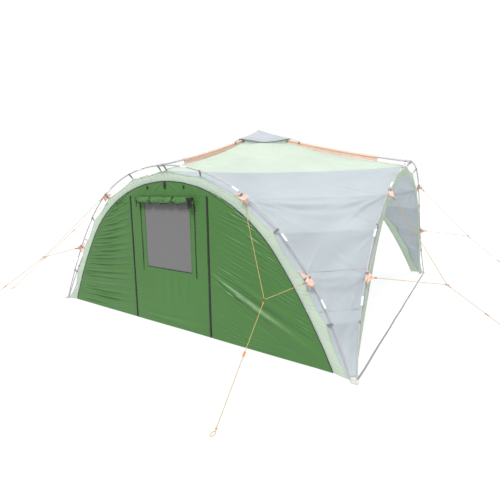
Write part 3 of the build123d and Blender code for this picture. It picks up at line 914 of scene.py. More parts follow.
def roof_base(reach, v):
    """The roof between two ridges: reach is the distance out along them."""
    drop = ROOF_DROP + 5 * MM * (reach - VENT_REACH) / (CLOTH - VENT_REACH)
    drop = drop - 24 * MM * np.clip((1.0 - reach) / 0.5, 0, 1)
    z = ridge_z(reach) - drop
    lowered = (1.777 - (ridge_z(ROOF_END) - 0.060)) * (reach - 1.95) / 0.098
    z = np.where(reach > 1.95, z + lowered, z)
    front, right = stack(4 * MM, -reach, z), stack(reach, -4 * MM, z)
    flat = front + (right - front) * v[..., None]
    sag = (0.012 + 0.033 * ((reach - VENT_REACH) / (CLOTH - VENT_REACH)) ** 3) * 4 * v * (1 - v)
    flat[..., 2] -= sag
    return flat


def make_roof_panel(side, name, rng):
    reach, v = spread(np.linspace(VENT_REACH, ROOF_END, 90), np.linspace(0, 1, 150))
    points = roof_base(reach, v)
    folds = []
    for k in range(9):
        start = rng.uniform(0.06, 0.94)
        route = [(VENT_REACH + 0.06, start), (1.2, start + rng.uniform(-0.05, 0.05)),
                 (2.03, start + rng.uniform(-0.08, 0.08))]
        folds.append((route, rng.uniform(22, 50) * MM, rng.uniform(1.5, 3.5) * MM))
    for v_tip, step in ((0.02, 1), (0.98, -1)):
        for k in range(5):
            route = [(2.03 - 0.02 * k, v_tip), (1.72 - 0.16 * k, v_tip + step * (0.10 + 0.07 * k))]
            folds.append((route, rng.uniform(16, 26) * MM, rng.uniform(2.5, 4.5) * MM))
    placed = [(roof_base(*(np.array(c) for c in zip(*route))), w, h) for route, w, h in folds]
    out = lift(points, placed) * np.clip(np.minimum(v, 1 - v) * 30, 0, 1)
    points = points - normals_of(points) * out[..., None]
    uv = stack((v - 0.5) * 2.9, reach)
    points = turn(points, side)
    piece = cloth_piece(f"roof_cloth_{name}", points, uv, "roof_green", CANOPY_T,
                        replaces=(f"roof_panel_{name}",))
    declare(piece, *flat_size(points), rests_on=["ridge_sleeves"],
            with_pieces=[make_vent_net(side, name)])


def cap_base(a, phi):
    """The vent cap over one corner: a runs out to its hem, and phi from one ridge to the next."""
    straight = CAP_TIP / (np.cos(phi) + np.sin(phi))
    r = straight * (1 - 0.12 * np.sin(2 * phi) ** 2 * a) * a
    z = CAP_APEX - (CAP_APEX - CAP_EDGE) * a - 0.010 * np.sin(pi * a) - 0.042 * np.sin(2 * phi) * a
    return stack(r * np.sin(phi), -r * np.cos(phi), z * np.ones_like(r))


def make_vent_net(side, name):
    """Pale cloth that closes the vent, from the roof panel up to the underside of the cap."""
    phi = np.linspace(0.07, pi / 2 - 0.07, 60)
    top = cap_base(np.full_like(phi, 0.94), phi) - np.array((0.0, 0.0, 5 * MM))
    foot = cap_base(np.full_like(phi, 0.97), phi)
    out = foot[:, 0] - foot[:, 1]
    foot[:, 2] = roof_base(out, foot[:, 0] / out)[:, 2] + 2 * MM
    share = np.linspace(0, 1, 8)[:, None, None]
    points = turn(foot + (top - foot) * share, side)
    uv = stack(phi[None] * 0.45, share[..., 0] * 0.06)
    return cloth_piece(f"vent_net_{name}", points, uv, "roof_green", 0.8 * MM)


def make_roof_seam(side, name):
    """The taped seam between a roof panel and the corner panel below it."""
    v = np.linspace(0.0, 1.0, 120)
    path = roof_base(np.full_like(v, ROOF_END), v)
    tube_piece(f"roof_seam_{name}", turn(path, side), 3.2 * MM, "roof_green", flat=0.7)


def make_border(side, name, rng):
    """The flat strip round one arch, drawn in to scallops between the straps."""
    end = SEAM.length - 6 * MM
    s, v = spread(np.linspace(-end, end, 900), np.linspace(0, 1, 12))
    outer_u, outer_z = seam_point(s)
    inner_u, inner_z = EDGE.at(s * EDGE.length / SEAM.length)
    u, z = outer_u + (inner_u - outer_u) * v, outer_z + (inner_z - outer_z) * v
    out = foot_pull(z) * (1 - v)
    u = u + np.sign(s) * out
    crease = ripple(rng, np.abs(s) + 0.05 * v, 0.036) * 2.0 * MM
    crease = crease + ripple(rng, s + 0.03 * v, 0.21) * 1.6 * MM
    fan = np.exp(-(s / 0.45) ** 2) * 2.4 * MM * np.sin(s * 2 * pi / 0.072)
    swell = np.sin(pi * np.clip(0.12 + 0.8 * v, 0, 1))
    y = -CLOTH + 2.5 * MM - (crease + fan) * swell - 5 * MM * np.sin(pi * v) - out
    points = turn(stack(u, y, np.maximum(z, 2 * MM)), side)
    piece = cloth_piece(f"border_cloth_{name}", points, stack(v * 0.104, s), "border_green",
                        CANOPY_T, replaces=(f"arch_border_{name}",))
    hems = [make_edge_tube(side, name, which, rng) for which in ("outer", "inner")]
    declare(piece, *flat_size(points), rests_on=["pole_straps"], with_pieces=hems)


def make_edge_tube(side, name, which, rng):
    """The bound edge on the outer or inner side of a border."""
    end = SEAM.length - 6 * MM
    s = np.linspace(-end, end, 420)
    if which == "outer":
        u, z = seam_point(s)
        out = foot_pull(z)
        radius, slot = 3.4 * MM, "border_green"
    else:
        u, z = EDGE.at(s * EDGE.length / SEAM.length)
        out = 0.0
        radius, slot = 4.2 * MM, "canopy_grey" if name == "front" else "border_green"
    u = u + np.sign(s) * out
    y = 1 * MM - CLOTH - out + ripple(rng, s, 0.16) * 0.6 * MM
    path = turn(stack(u, y, np.maximum(z, 5 * MM)), side)
    return tube_piece(f"border_{which}_edge_{name}", path, radius, slot)


def make_sleeve(side, name, rng):
    """Orange sleeve round the ridge pole, with a double layer down to the roof's seam."""
    rows = 170
    reach = np.linspace(*SLEEVE, rows)
    slope = np.polyval(np.polyder(RIDGE), reach)
    up = stack(0.0, slope, 1.0)
    up /= np.linalg.norm(up, axis=1)[:, None]
    centre = stack(0.0, -reach, ridge_z(reach))
    angle = np.radians(np.linspace(-75, 255, 28))
    lower = np.linspace(-50, -19, 8) * MM
    x = np.concatenate([np.full(8, 1.6 * MM), 10 * MM * np.cos(angle), np.full(8, -1.6 * MM)])
    h = np.concatenate([lower, 14 * MM * np.sin(angle), lower[::-1]])
    wide = 1 + 0.10 * ripple(rng, reach, 0.09)[:, None] + 0.05 * ripple(rng, reach, 0.03)[:, None]
    twist = 3.0 * MM * ripple(rng, reach, 0.13)[:, None] * np.clip(-h / 0.05, 0, 1)[None]
    points = (centre[:, None] + up[:, None] * (h[None] * (1 + 0.03 * (wide - 1)))[..., None])
    points = points + ACROSS * (x[None] * np.maximum(wide, 0.92) + twist)[..., None]
    around = lengths(stack(x, h))
    uv = stack(around[None], reach[:, None])
    points = turn(points, side)
    piece = cloth_piece(f"sleeve_cloth_{name}", points, uv, "orange_cloth", 1.2 * MM,
                        replaces=("ridge_sleeves",))
    declare(piece, *flat_size(points), rests_on=[f"ridge_pole_{name}"])
    tail = np.linspace(SLEEVE[1] - 0.02, 2.02, 40)
    path = turn(stack(0.0, -tail, ridge_z(tail) - ROOF_DROP - 3 * MM), side)
    tube_piece(f"ridge_tape_{name}", path, 5.0 * MM, "roof_green", flat=0.6)


def make_cap():
    """Vent cap: four panels that meet at the top, pulled out at the corners over the ridges."""
    a, phi = spread(np.linspace(0.02, 1.0, 34), np.linspace(0, pi / 2, 40, endpoint=False))
    points = np.concatenate([turn(cap_base(a, phi), side) for side in range(4)], axis=1)
    piece = cloth_piece("vent_cap_cloth", points, points[..., :2], "cap_cloth", CANOPY_T,
                        replaces=("vent_cap",), wrap_cols=True)
    hem = tube_piece("vent_cap_hem", points[-1], 1.8 * MM, "cap_cloth", closed=True)
    heights = [(0, 0, CAP_APEX - 12 * MM), (0, 0, CAP_APEX - 6 * MM), (0, 0, CAP_APEX - 1 * MM)]
    top = tube_piece("vent_cap_button", heights, (12 * MM, 16 * MM, 14 * MM), "cap_cloth",
                     sides=20)
    declare(piece, (0.75, 0.75), 0.5, with_pieces=[hem, top], rests_on=["centre_hub"])
    for side in range(4):
        reach = np.linspace(CAP_TIP - 0.02, CAP_TIE_END, 14)
        tie_z = (CAP_EDGE, float(ridge_z(CAP_TIE_END)) + 16 * MM)
        centre = stack(0.0, -reach, np.interp(reach, (CAP_TIP, CAP_TIE_END), tie_z))
        strap_piece(f"cap_tie_{SIDES[side]}", turn(centre, side), turn(ACROSS, side), 16 * MM,
                    "strap")


# ---- webbing ---------------------------------------------------------------------------
def strap_piece(name, centre, across, width, slot, body=BODY, thick=1.5 * MM, replaces=()):
    """Flat webbing along a path, with its two woven edges marked for the material."""
    share = np.linspace(-1, 1, 9)
    width = np.broadcast_to(np.asarray(width, float), len(centre))
    across = np.broadcast_to(across, centre.shape)
    points = centre[:, None] + across[:, None] * (share[None] * width[:, None] / 2)[..., None]
    uv = stack(share[None] * width.max() / 2, lengths(centre)[:, None])
    mesh = grid_mesh(name, points, uv)
    edge = mesh.attributes.new("selvedge", "FLOAT", "POINT")
    marks = np.broadcast_to((np.abs(share) > 0.7).astype(np.float32)[None], points.shape[:2])
    edge.data.foreach_set("value", np.ascontiguousarray(marks).ravel())
    return thicken(add_piece(name, mesh, slot, body, replaces), thick)


def make_pole_straps(rng):
    """Webbing loops from the cloth's outer edge round the arch poles."""
    for side in range(4):
        for leg, leg_name in ((-1, "near"), (1, "far")):
            for k, at in enumerate(STRAP_AT):
                place = PoleFrame(leg * at)
                angle = np.radians(np.linspace(24, 336, 40))
                loop = stack(8.2 * MM * np.cos(angle), 8.2 * MM * np.sin(angle))
                out = place.reach - 6 * MM
                pinch = 12 * MM
                sag = rng.uniform(-1.5, 1.5) * MM
                start = [(out, 1.2 * MM), ((out + pinch) / 2, 1.6 * MM + sag), (pinch, 1.8 * MM)]
                end = [(pinch, -1.8 * MM), (out * 0.62, -1.4 * MM + sag)]
                route = np.concatenate([np.array(start), loop, np.array(end)])
                local = np.concatenate([route, np.zeros((len(route), 1))], axis=1)
                centre = turn(place.point(local), side)
                strap_piece(f"pole_strap_{SIDES[side]}_{leg_name}_{k}", centre,
                            turn(place.z, side), 20 * MM, "strap", replaces=("pole_straps",))


def make_sleeve_bands():
    """Black ties round the ridge sleeves, outside the vent cap."""
    for side, name in enumerate(SIDES):
        reach = 0.66
        slope = float(np.polyval(np.polyder(RIDGE), reach))
        up = unit(np.array((0.0, slope, 1.0)))
        along = unit(np.array((0.0, -1.0, slope)))
        angle = np.radians(np.linspace(-62, 242, 40))
        middle = np.array((0.0, -reach, float(ridge_z(reach))))
        path = (middle + ACROSS * (17 * MM * np.cos(angle))[:, None]
                + up * (17 * MM * np.sin(angle))[:, None])
        strap_piece(f"sleeve_band_{name}", turn(path, side), turn(along, side), 22 * MM, "strap")


def make_gusset(side, leg, at, name, rng):
    """Orange cloth from the seam over the pole, held by a webbing band that carries the ring."""
    place = PoleFrame(leg * at)
    rows, cols = 34, 29
    a = np.linspace(0, 1, rows)
    reach = place.reach
    # Each row: distance to the pole, height over it, and the ends along the pole. The guy
    # lines draw the upper gusset down its pole and the lower one up.
    knots = np.array([(reach - 4 * MM, 5 * MM, -96 * MM, 98 * MM),
                      (reach * 0.6, 9 * MM, -56 * MM, 84 * MM),
                      (12 * MM, 13.5 * MM, -28 * MM, 76 * MM), (2 * MM, 15.5 * MM, -24 * MM, 74 * MM),
                      (-7 * MM, 13 * MM, -22 * MM, 70 * MM), (-12 * MM, 7 * MM, -20 * MM, 66 * MM)])
    at_knot = lengths(knots[:, :2])
    at_knot /= at_knot[-1]
    x, y, low, high = (np.interp(a, at_knot, column) for column in knots.T)
    b = np.linspace(0, 1, cols)
    pucker = np.sin(b[None] * 17.0 + rng.uniform(0, 6)) * 2.2 * MM * (1 - a[:, None] * 0.8)
    bow = 2 * MM * np.sin(pi * b[None]) * np.sin(pi * a[:, None])
    local = stack(x[:, None], y[:, None] + pucker + bow,
                  low[:, None] + (high - low)[:, None] * b[None])
    points = turn(place.point(local), side)
    uv = stack(b[None] * 0.19, a[:, None] * 0.09)
    piece = cloth_piece(f"gusset_cloth_{name}", points, uv, "orange_cloth", 1.2 * MM,
                        replaces=("gussets",))
    declare(piece, *flat_size(points), rests_on=["pole_straps"],
            with_pieces=[make_gusset_flap(side, leg, at, name)])

    route = np.array([(reach - 2 * MM, 9 * MM), (reach * 0.6, 15 * MM), (14 * MM, 18.5 * MM),
                      (2 * MM, 19.5 * MM), (-9 * MM, 16 * MM), (-14 * MM, 9 * MM)])
    step = np.linspace(0, len(route) - 1, 25)
    band = np.stack([np.interp(step, np.arange(len(route)), column) for column in route.T]
                    + [np.zeros(25)], axis=1)
    strap_piece(f"gusset_band_{name}", turn(place.point(band), side), turn(place.z, side),
                24 * MM, "strap")


def make_gusset_flap(side, leg, at, name):
    """The gusset's folded point, drawn out along its guy line to a webbing tab and a ring."""
    place = PoleFrame(leg * at)
    tip, pull = tip_of(side, leg, at), pull_of(side, leg, at)
    base = turn(place.point((3 * MM, 14 * MM, TIP_ALONG[at])), side)
    along = turn(place.z, side)
    apex = tip + pull * FLAP
    broad = unit(along - pull * float(along @ pull))
    thin = np.cross(pull, broad)
    a = np.linspace(0, 1, 16)[:, None, None]
    around = np.linspace(0, 2 * pi, 24, endpoint=False)[None, :, None]
    half = FLAP_WIDE + (FLAP_NARROW - FLAP_WIDE) * a ** 0.8
    depth = 4.0 * MM + 1.5 * MM * np.sin(pi * a)
    wavy = 2.5 * MM * np.sin(pi * a) * np.cos(2 * around + 4 * a)
    points = base + (apex - base) * a + broad * np.cos(around) * half
    points = points + thin * (np.sin(around) * depth + wavy)
    uv = stack(around[..., 0] * 0.02, a[..., 0] * 0.07)
    mesh = grid_mesh(f"gusset_flap_{name}", points, uv, wrap_cols=True)
    flap = add_piece(f"gusset_flap_{name}", mesh, "orange_cloth", BODY)
    tab = np.linspace(apex - pull * 16 * MM, apex + pull * 20 * MM, 9) + thin * 6 * MM
    strap_piece(f"gusset_tab_{name}", tab, broad, 11 * MM, "strap")
    t = np.linspace(0, 2 * pi, 28, endpoint=False)[:, None]
    ring_at = apex + pull * 22 * MM
    ring = ring_at + pull * (7 * MM * np.cos(t)) + broad * (7 * MM * np.sin(t))
    tube_piece(f"gusset_ring_{name}", ring, 1.5 * MM, "ring_steel", closed=True)
    return flap


def make_gussets(rng):
    for side in range(4):
        for leg, leg_name in ((-1, "near"), (1, "far")):
            for level, at in zip(("upper", "lower"), GUSSET_AT):
                make_gusset(side, leg, at, f"{SIDES[side]}_{leg_name}_{level}", rng)


def make_base_straps(rng):
    """Webbing that lies along the ground between the feet, on the two open sides."""
    for side in (1, 3):
        x = np.linspace(-2.045, 2.045, 240)
        wander = 2.5 * MM * ripple(rng, x, 0.8)
        rise = 2.2 * MM + 1.1 * MM * (1 + ripple(rng, x, 0.25))
        centre = stack(x, -HALF_SIDE + wander, np.clip(rise, 1.2 * MM, None))
        strap_piece(f"ground_strap_{SIDES[side]}", turn(centre, side),
                    turn(np.array((0, 1.0, 0)), side), 16 * MM, "strap",
                    replaces=("base_straps",))


# ---- wall, door and window -------------------------------------------------------------
WALL_T = 1.8 * MM
ZIP_X = 0.5798
PANEL_X = 0.5925


def wall_sheet(name, x, z, folds, waves, slot, body, node, keep=None, thick=WALL_T):
    """A sheet of the wall from grids of x and z, lifted outwards by its folds and waves."""
    out = lift(stack(x, z), folds) + waves
    points = stack(x, -CLOTH - out, z)
    piece = cloth_piece(name, points, stack(x, z), slot, thick, body, node, keep=keep)
    return piece, points


def pucker(rng, x, z, at, reach, pitch, height):
    """Short ripples along an upright seam, where the cloth is gathered by its zip."""
    away = np.abs(x - at)
    near = np.exp(-((away - 0.012) / reach) ** 2) * np.clip((away - 7 * MM) / 0.010, 0, 1)
    return height * near * ripple(rng, z + 0.05 * (x - at), pitch)


def left_folds(rng):
    """Tension folds that fan from the outer edge of the left panel up to its zip."""
    folds = []
    for k in range(17):
        z = 0.055 + 0.088 * k + rng.uniform(-0.018, 0.018)
        edge = -float(EDGE.half_width(z)) + 0.02
        rise = 0.03 + 0.15 * z / 1.3
        end_x = -PANEL_X - rng.uniform(0.0, 0.05)
        share = (end_x - edge) / (-PANEL_X - edge)
        end = (end_x, z + rise * share)
        middle = ((edge + end_x) / 2, z + rise * share * 0.42)
        height = rng.uniform(9, 16) * MM * (0.75 if z > 1.1 else 1.0)
        folds.append(([(edge, z), middle, end], rng.uniform(9, 14) * MM, height))
    for k in range(60):
        z = rng.uniform(0.06, 1.45)
        edge = -float(EDGE.half_width(z)) + 0.02
        reach = rng.uniform(0.25, 1.0) * (-PANEL_X - edge)
        lean = 0.16 * z / 1.3 - 0.02
        folds.append(([(edge, z), (edge + reach, z + lean * reach)],
                      rng.uniform(6, 10) * MM, rng.uniform(3, 5.5) * MM))
    return folds


def right_folds(rng):
    """Diagonal folds from the zip down to the lower right corner."""
    folds = [([(0.62, 0.70), (1.10, 0.43), (1.78, 0.10)], 0.030, 0.025),
             ([(0.66, 0.62), (1.15, 0.34), (1.70, 0.06)], 0.022, 0.016),
             ([(0.70, 0.78), (1.20, 0.52), (1.66, 0.33)], 0.026, 0.009)]
    for k in range(34):
        z = 0.16 + 0.037 * k + rng.uniform(-0.015, 0.015)
        fall = 0.34 + 0.10 * rng.random()
        reach = rng.uniform(0.30, 0.75)
        start = 0.60 + rng.uniform(0, 0.12)
        end_z = z - fall * reach
        if end_z < 0.03:
            reach *= (z - 0.03) / (z - end_z)
            end_z = 0.03
        folds.append(([(start, z), (start + reach, end_z)], rng.uniform(7, 12) * MM,
                      rng.uniform(2, 4.5) * MM))
    for k in range(36):
        z = 0.15 + 0.038 * k + rng.uniform(-0.012, 0.012)
        edge = float(EDGE.half_width(z)) - 0.02
        reach = rng.uniform(0.15, 0.42)
        lean = 0.55 if z > 0.8 else 0.42
        height = rng.uniform(5, 9) if 1.05 < z < 1.4 else rng.uniform(3, 6)
        folds.append(([(edge, z), (edge - reach, z + lean * reach)], rng.uniform(7, 11) * MM,
                      height * MM))
    for k in range(3):
        folds.append(([(0.62, 0.05 + 0.035 * k), (1.2, 0.045 + 0.03 * k), (1.84, 0.02 + 0.02 * k)],
                      0.012, 0.005))
    return folds


def door_folds(rng):
    """Slack under the window, and folds along the foot of the door."""
    folds = [([(-0.54, 0.085), (0.0, 0.075), (0.55, 0.085)], 0.020, 0.013),
             ([(-0.50, 0.045), (0.1, 0.04), (0.55, 0.05)], 0.009, 0.005)]
    for side in (-1, 1):
        for k in range(9):
            x = side * 0.42
            z = 0.63 - 0.045 * k
            reach = rng.uniform(0.10, 0.14)
            folds.append(([(x, z), (x + side * reach, z - 0.55 * reach)], 8 * MM,
                          rng.uniform(2, 4.5) * MM))
    for k in range(6):
        x = rng.uniform(-0.3, 0.3)
        folds.append(([(x, 0.66), (x + rng.uniform(-0.1, 0.1), rng.uniform(0.2, 0.45))], 0.03,
                      rng.uniform(1.5, 3.5) * MM))
    return folds


def make_side_panel(side, name, folds, rng):
    """The wall cloth between a door zip and the arch; side is -1 on the left and 1 on the right."""
    z, share = spread(np.linspace(3 * MM, 1.552, 380), np.linspace(0, 1, 120))
    edge = EDGE.half_width(z) - 6 * MM
    x = side * (PANEL_X + np.maximum(edge - PANEL_X, 0.004) * share)
    waves = pucker(rng, x, z, side * ZIP_X, 0.035, 0.030, 1.6 * MM)
    waves = waves + 3 * MM * ripple(rng, z + 0.2 * x, 0.5) * np.sin(pi * share)
    if side < 0:
        x, z, waves = x[:, ::-1], z[:, ::-1], waves[:, ::-1]
    piece, points = wall_sheet(f"wall_cloth_{name}", x, z, folds, waves, "wall_green", BODY,
                               (f"wall_panel_{name}",))
    declare(piece, *flat_size(points), rests_on=["border_cloth_front"],
            with_pieces=[make_hem(f"wall_hem_{name}", points[0], BODY)])


def make_hem(name, edge, body):
    """The turned-up hem along the foot of a sheet of the wall."""
    path = edge.copy()
    path[:, 2] = 7 * MM
    path[:, 1] -= 1.2 * MM
    return tube_piece(name, path, 5.5 * MM, "wall_green", body, sides=10, flat=0.42)


def make_top_panel(rng):
    """The wall cloth above the door, up to the arch."""
    rows, cols = 60, 200
    across = np.linspace(-PANEL_X + 1 * MM, PANEL_X - 1 * MM, cols)
    share = np.linspace(0, 1, rows)[:, None]
    x = np.ones((rows, 1)) * across[None]
    top = np.sqrt((EDGE.rise - 6 * MM) ** 2 - x ** 2)
    low = DOOR_HIGH.z + 1.5 * MM
    z = low + (top - low) * share
    folds = [([(-0.02, 1.66), (-0.13, 1.60), (-0.20, 1.53)], 0.012, 0.005),
             ([(0.02, 1.66), (0.12, 1.60), (0.20, 1.53)], 0.012, 0.005)]
    for k in range(6):
        x0 = rng.uniform(-0.5, 0.5)
        folds.append(([(x0, 1.60), (x0 + rng.uniform(-0.05, 0.05), 1.52)], 0.012, 0.003))
    waves = 2 * MM * ripple(rng, x, 0.33) * np.sin(pi * share)
    piece, points = wall_sheet("wall_cloth_top", x, z, folds, waves, "wall_green", BODY,
                               ("wall_panel_top",))
    behind = stack(np.linspace(-ZIP_X, ZIP_X, 120), -CLOTH + 2.6 * MM, DOOR_HIGH.z)
    facing = strap_piece("wall_door_facing", behind, UPWARDS, 24 * MM, "wall_green",
                         thick=1.0 * MM)
    declare(piece, *flat_size(points), rests_on=["border_cloth_front"], with_pieces=[facing])


def steps_through(*stops):
    """Grid lines with a stop at each given place; each stop says how many steps lead to it."""
    lines = [np.array([stops[0]])]
    last = stops[0]
    for stop, count in stops[1:]:
        lines.append(np.linspace(last, stop, count + 1)[1:])
        last = stop
    return np.concatenate(lines)


def make_door(rng):
    """The door's cloth round its window."""
    half, wide = WINDOW_HIGH.x, DOOR_HIGH.x + 1.2 * MM
    columns = steps_through(-wide, (-half, 30), (half, 66), (wide, 30))
    lines = steps_through(DOOR_LOW.z, (WINDOW_LOW.z, 118), (WINDOW_HIGH.z, 132), (DOOR_HIGH.z, 12))
    x, z = np.meshgrid(columns, lines)
    middle_x = (columns[1:] + columns[:-1]) / 2
    middle_z = (lines[1:] + lines[:-1]) / 2
    in_x, in_z = np.abs(middle_x) < half, (middle_z > WINDOW_LOW.z) & (middle_z < WINDOW_HIGH.z)
    keep = ~(in_z[:, None] & in_x[None])
    waves = np.zeros_like(x)
    for at in (-0.41, 0.41):
        waves += pucker(rng, x, z, at, 0.032, 0.026, 4.2 * MM) * np.clip((z - 0.60) / 0.05, 0, 1)
    for at in (-ZIP_X, ZIP_X):
        waves += pucker(rng, x, z, at, 0.030, 0.032, 1.6 * MM)
    waves += 2 * MM * ripple(rng, z + 0.3 * x, 0.45)
    waves *= np.where((np.abs(x) < half + 1e-6) & (z > 0.6), 0.3, 1.0)
    waves *= np.clip((DOOR_HIGH.z - z) / 0.030, 0, 1)
    piece, points = wall_sheet("door_cloth", x, z, door_folds(rng), waves, "wall_green", DOOR_BODY,
                               ("door_panel",), keep=keep)
    hem = make_hem("door_hem", points[0], DOOR_BODY)
    binding = make_window_frame()
    path = stack(np.linspace(-DOOR_HIGH.x, DOOR_HIGH.x, 120), -CLOTH - 1.6 * MM,
                 DOOR_HIGH.z - 6 * MM)
    binding.append(tube_piece("door_top_seam", path, 1.9 * MM, "wall_green", DOOR_BODY))
    window = 2 * half * (WINDOW_HIGH.z - WINDOW_LOW.z)
    flat, area = flat_size(points)
    declare(piece, flat, area - window, rests_on=["wall_cloth_top"],
            with_pieces=[hem, *binding])


def make_window_frame():
    """The binding round the window: green on the sides and top, with a dark line along the sill."""
    half, low, high = WINDOW_HIGH.x, WINDOW_LOW.z, WINDOW_HIGH.z
    y = -CLOTH - 1.2 * MM
    round_top = [(-half, y, low), (-half, y, high), (half, y, high), (half, y, low)]
    sill = [(-half, y, low), (half, y, low)]
    pieces = []
    for name, stops, slot in (("window_binding", round_top, "wall_green"),
                              ("window_sill", sill, "zip_tape")):
        path = np.concatenate([np.linspace(a, b, 50, endpoint=False)
                               for a, b in zip(stops, stops[1:])] + [np.array([stops[-1]])])
        pieces.append(tube_piece(name, path, 4.2 * MM, slot, DOOR_BODY, flat=0.6))
    return pieces


def make_net(rng):
    """The window's insect net, a little slack."""
    low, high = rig.box("window_mesh")
    x, z = np.meshgrid(np.linspace(low.x, high.x, 90), np.linspace(low.z, high.z, 100))
    slack = np.sin(pi * (x - low.x) / (high.x - low.x)) * np.sin(pi * (z - low.z) / (high.z - low.z))
    y = (low.y + high.y) / 2 + 4 * MM * slack + 0.6 * MM * ripple(rng, x + 0.4 * z, 0.3)
    points = stack(x, y, z)
    piece = cloth_piece("window_net", points, stack(x, z), "insect_mesh", 0.6 * MM, DOOR_BODY,
                        ("window_mesh",))
    declare(piece, *flat_size(points), rests_on=["door_cloth"])


def zip_piece(name, bend, low, high, width, body, node):
    """A zip: a woven tape with a raised, toothed chain down its middle."""
    z = np.arange(low, high, 2.5 * MM)
    share = np.array((-1.0, -0.55, -0.24, -0.20, -0.10, 0.0, 0.10, 0.20, 0.24, 0.55, 1.0))
    chain = np.array((0.0, 0.0, 0.0, 1.0, 1.0, 1.0, 1.0, 1.0, 0.0, 0.0, 0.0))
    teeth = 1.6 * MM + 0.9 * MM * (np.sin(z * 2 * pi / (7.5 * MM)) > 0)
    x = bend(z)[:, None] + share[None] * width / 2
    y = -CLOTH - 2.2 * MM - chain[None] * teeth[:, None]
    uv = stack(share[None] * width / 2, z[:, None])
    cloth_piece(name, stack(x, y, z[:, None]), uv, "zip_tape", 1.2 * MM, body, (node,))


def make_zips():
    """Both door zips, which stay with the wall, and both window zips, which are on the door."""
    for side, name in ((-1, "left"), (1, "right")):
        low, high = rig.box("wall_zip_tapes")

        def door_line(z, side=side):
            return side * ZIP_X + 0.2 * MM * ripple(np.random.default_rng(7 + side), z, 0.2)
        zip_piece(f"door_zip_chain_{name}", door_line, low.z, high.z, 22.0 * MM, BODY,
                  "wall_zip_tapes")
        flap = stack(side * ZIP_X, -CLOTH + 2.6 * MM, np.linspace(low.z, high.z - 2 * MM, 60))
        strap_piece(f"door_zip_flap_{name}", flap, ACROSS, 46 * MM, "wall_green",
                    thick=1.0 * MM)
    for side, name in ((-1, "left"), (1, "right")):
        low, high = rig.box("window_zip_tapes")

        def window_line(z, side=side):
            return side * 0.410 + 1.2 * MM * ripple(np.random.default_rng(17 + side), z, 0.15)
        zip_piece(f"window_zip_chain_{name}", window_line, low.z, high.z, 13 * MM, DOOR_BODY,
                  "window_zip_tapes")


def make_wall_shadow_line(rng):
    """Painted shadow: a dark tube, in the zip tape's colour, along the line where the wall joins the arch border."""
    s = np.linspace(-(EDGE.length - 8 * MM), EDGE.length - 8 * MM, 420)
    u, z = EDGE.at(s)
    reach = np.hypot(u, z)
    inset = 8 * MM + 1.5 * MM * ripple(rng, s, 0.3)
    u, z = u - inset * u / reach, z - inset * z / reach
    path = stack(u, -CLOTH - 2.2 * MM, np.maximum(z, 4 * MM))
    # painted shadow line: a dark tube stands in for the shade where the wall meets the border
    tube_piece("wall_edge_shadow_line", path, 3.4 * MM, "zip_tape", flat=0.5)


# ---- rolled window cover ---------------------------------------------------------------
TIES = (-0.428, -0.200, 0.140, 0.385)


def make_roll(rng):
    """The cover rolled up above the window and gathered by its ties."""
    turns, per_turn, cols = 5.2, 34, 170
    rows = int(turns * per_turn)
    b = np.linspace(0, 1, rows)[:, None]
    x = np.linspace(ROLL_LOW.x, ROLL_HIGH.x, cols)[None]
    pinch = sum(np.exp(-((x - tie) / 0.022) ** 2) for tie in TIES)
    full = 1 - 0.34 * np.clip(pinch, 0, 1) + 0.12 * ripple(rng, x, 0.16)
    angle = -pi / 2 + 2 * pi * turns * (1 - b) + 0.5 * ripple(rng, x, 0.6)
    outer = np.clip(b * 3 - 2, 0, 1)
    creases = 1 + 0.22 * np.sin(3 * angle + 31 * x + 2 * ripple(rng, x, 0.11)) * outer
    creases = creases + 0.08 * np.sin(6 * angle - 74 * x) * outer
    radius = (9 * MM + (ROLL_R - 4 * MM) * b) * full * creases
    hang = 5 * MM * ripple(rng, x, 0.35)
    y = ROLL_CENTRE.y + radius * np.cos(angle)
    z = ROLL_CENTRE.z + radius * np.sin(angle) + hang
    y, z = np.minimum(y, -CLOTH - 3 * MM), np.minimum(z, ROLL_HIGH.z + 1 * MM)
    points = stack(x, y, z)
    piece = cloth_piece("window_cover_cloth", points, stack(x, 0.80 * b), "wall_green", 1.0 * MM,
                        DOOR_BODY, ("window_cover_roll",))
    declare(piece, *flat_size(points), held="folded", rests_on=["roll_tie_0"])


def make_ties():
    """Elastic loops round the roll, and the slack ends that hang down at its two ends."""
    for k, at in enumerate(TIES):
        angle = np.radians(np.linspace(0, 360, 48, endpoint=False))
        radius = ROLL_R * 0.80
        y = np.minimum(ROLL_CENTRE.y + radius * np.cos(angle), -CLOTH - 2 * MM)
        path = stack(at + 2 * MM * np.sin(2 * angle), y, ROLL_CENTRE.z + radius * np.sin(angle))
        tube_piece(f"roll_tie_{k}", path, 3.0 * MM, "elastic", DOOR_BODY, ("roll_ties",),
                   sides=10, closed=True, flat=1.5)
    loops = ((-0.405, 0.085, -0.004), (0.352, 0.074, 0.014), (0.364, 0.092, 0.006),
             (0.376, 0.104, 0.002), (0.388, 0.110, -0.004), (0.400, 0.104, 0.006),
             (0.411, 0.088, 0.003), (0.421, 0.068, 0.002))
    for k, (x, drop, lean) in enumerate(loops):
        t = np.linspace(0, 2 * pi, 40, endpoint=False)
        top = ROLL_CENTRE.z + (26 if x > 0 else 8) * MM
        path = stack(x + lean * (1 - np.cos(t)) + 9 * MM * np.sin(t),
                     ROLL_CENTRE.y - ROLL_R * 0.80 - 5 * MM * np.sin(t),
                     top - drop * (1 - np.cos(t)) / 2)
        tube_piece(f"roll_tie_loop_{k}", path, (5.0 if x > 0 else 2.6) * MM, "elastic", DOOR_BODY,
                   closed=True)
    pull = stack(0.430, ROLL_CENTRE.y - ROLL_R * 0.7,
                 np.linspace(ROLL_CENTRE.z - 4 * MM, ROLL_CENTRE.z - 34 * MM, 7))
    tube_piece("roll_pull", pull, 5 * MM, "foot_plastic", DOOR_BODY, sides=10)


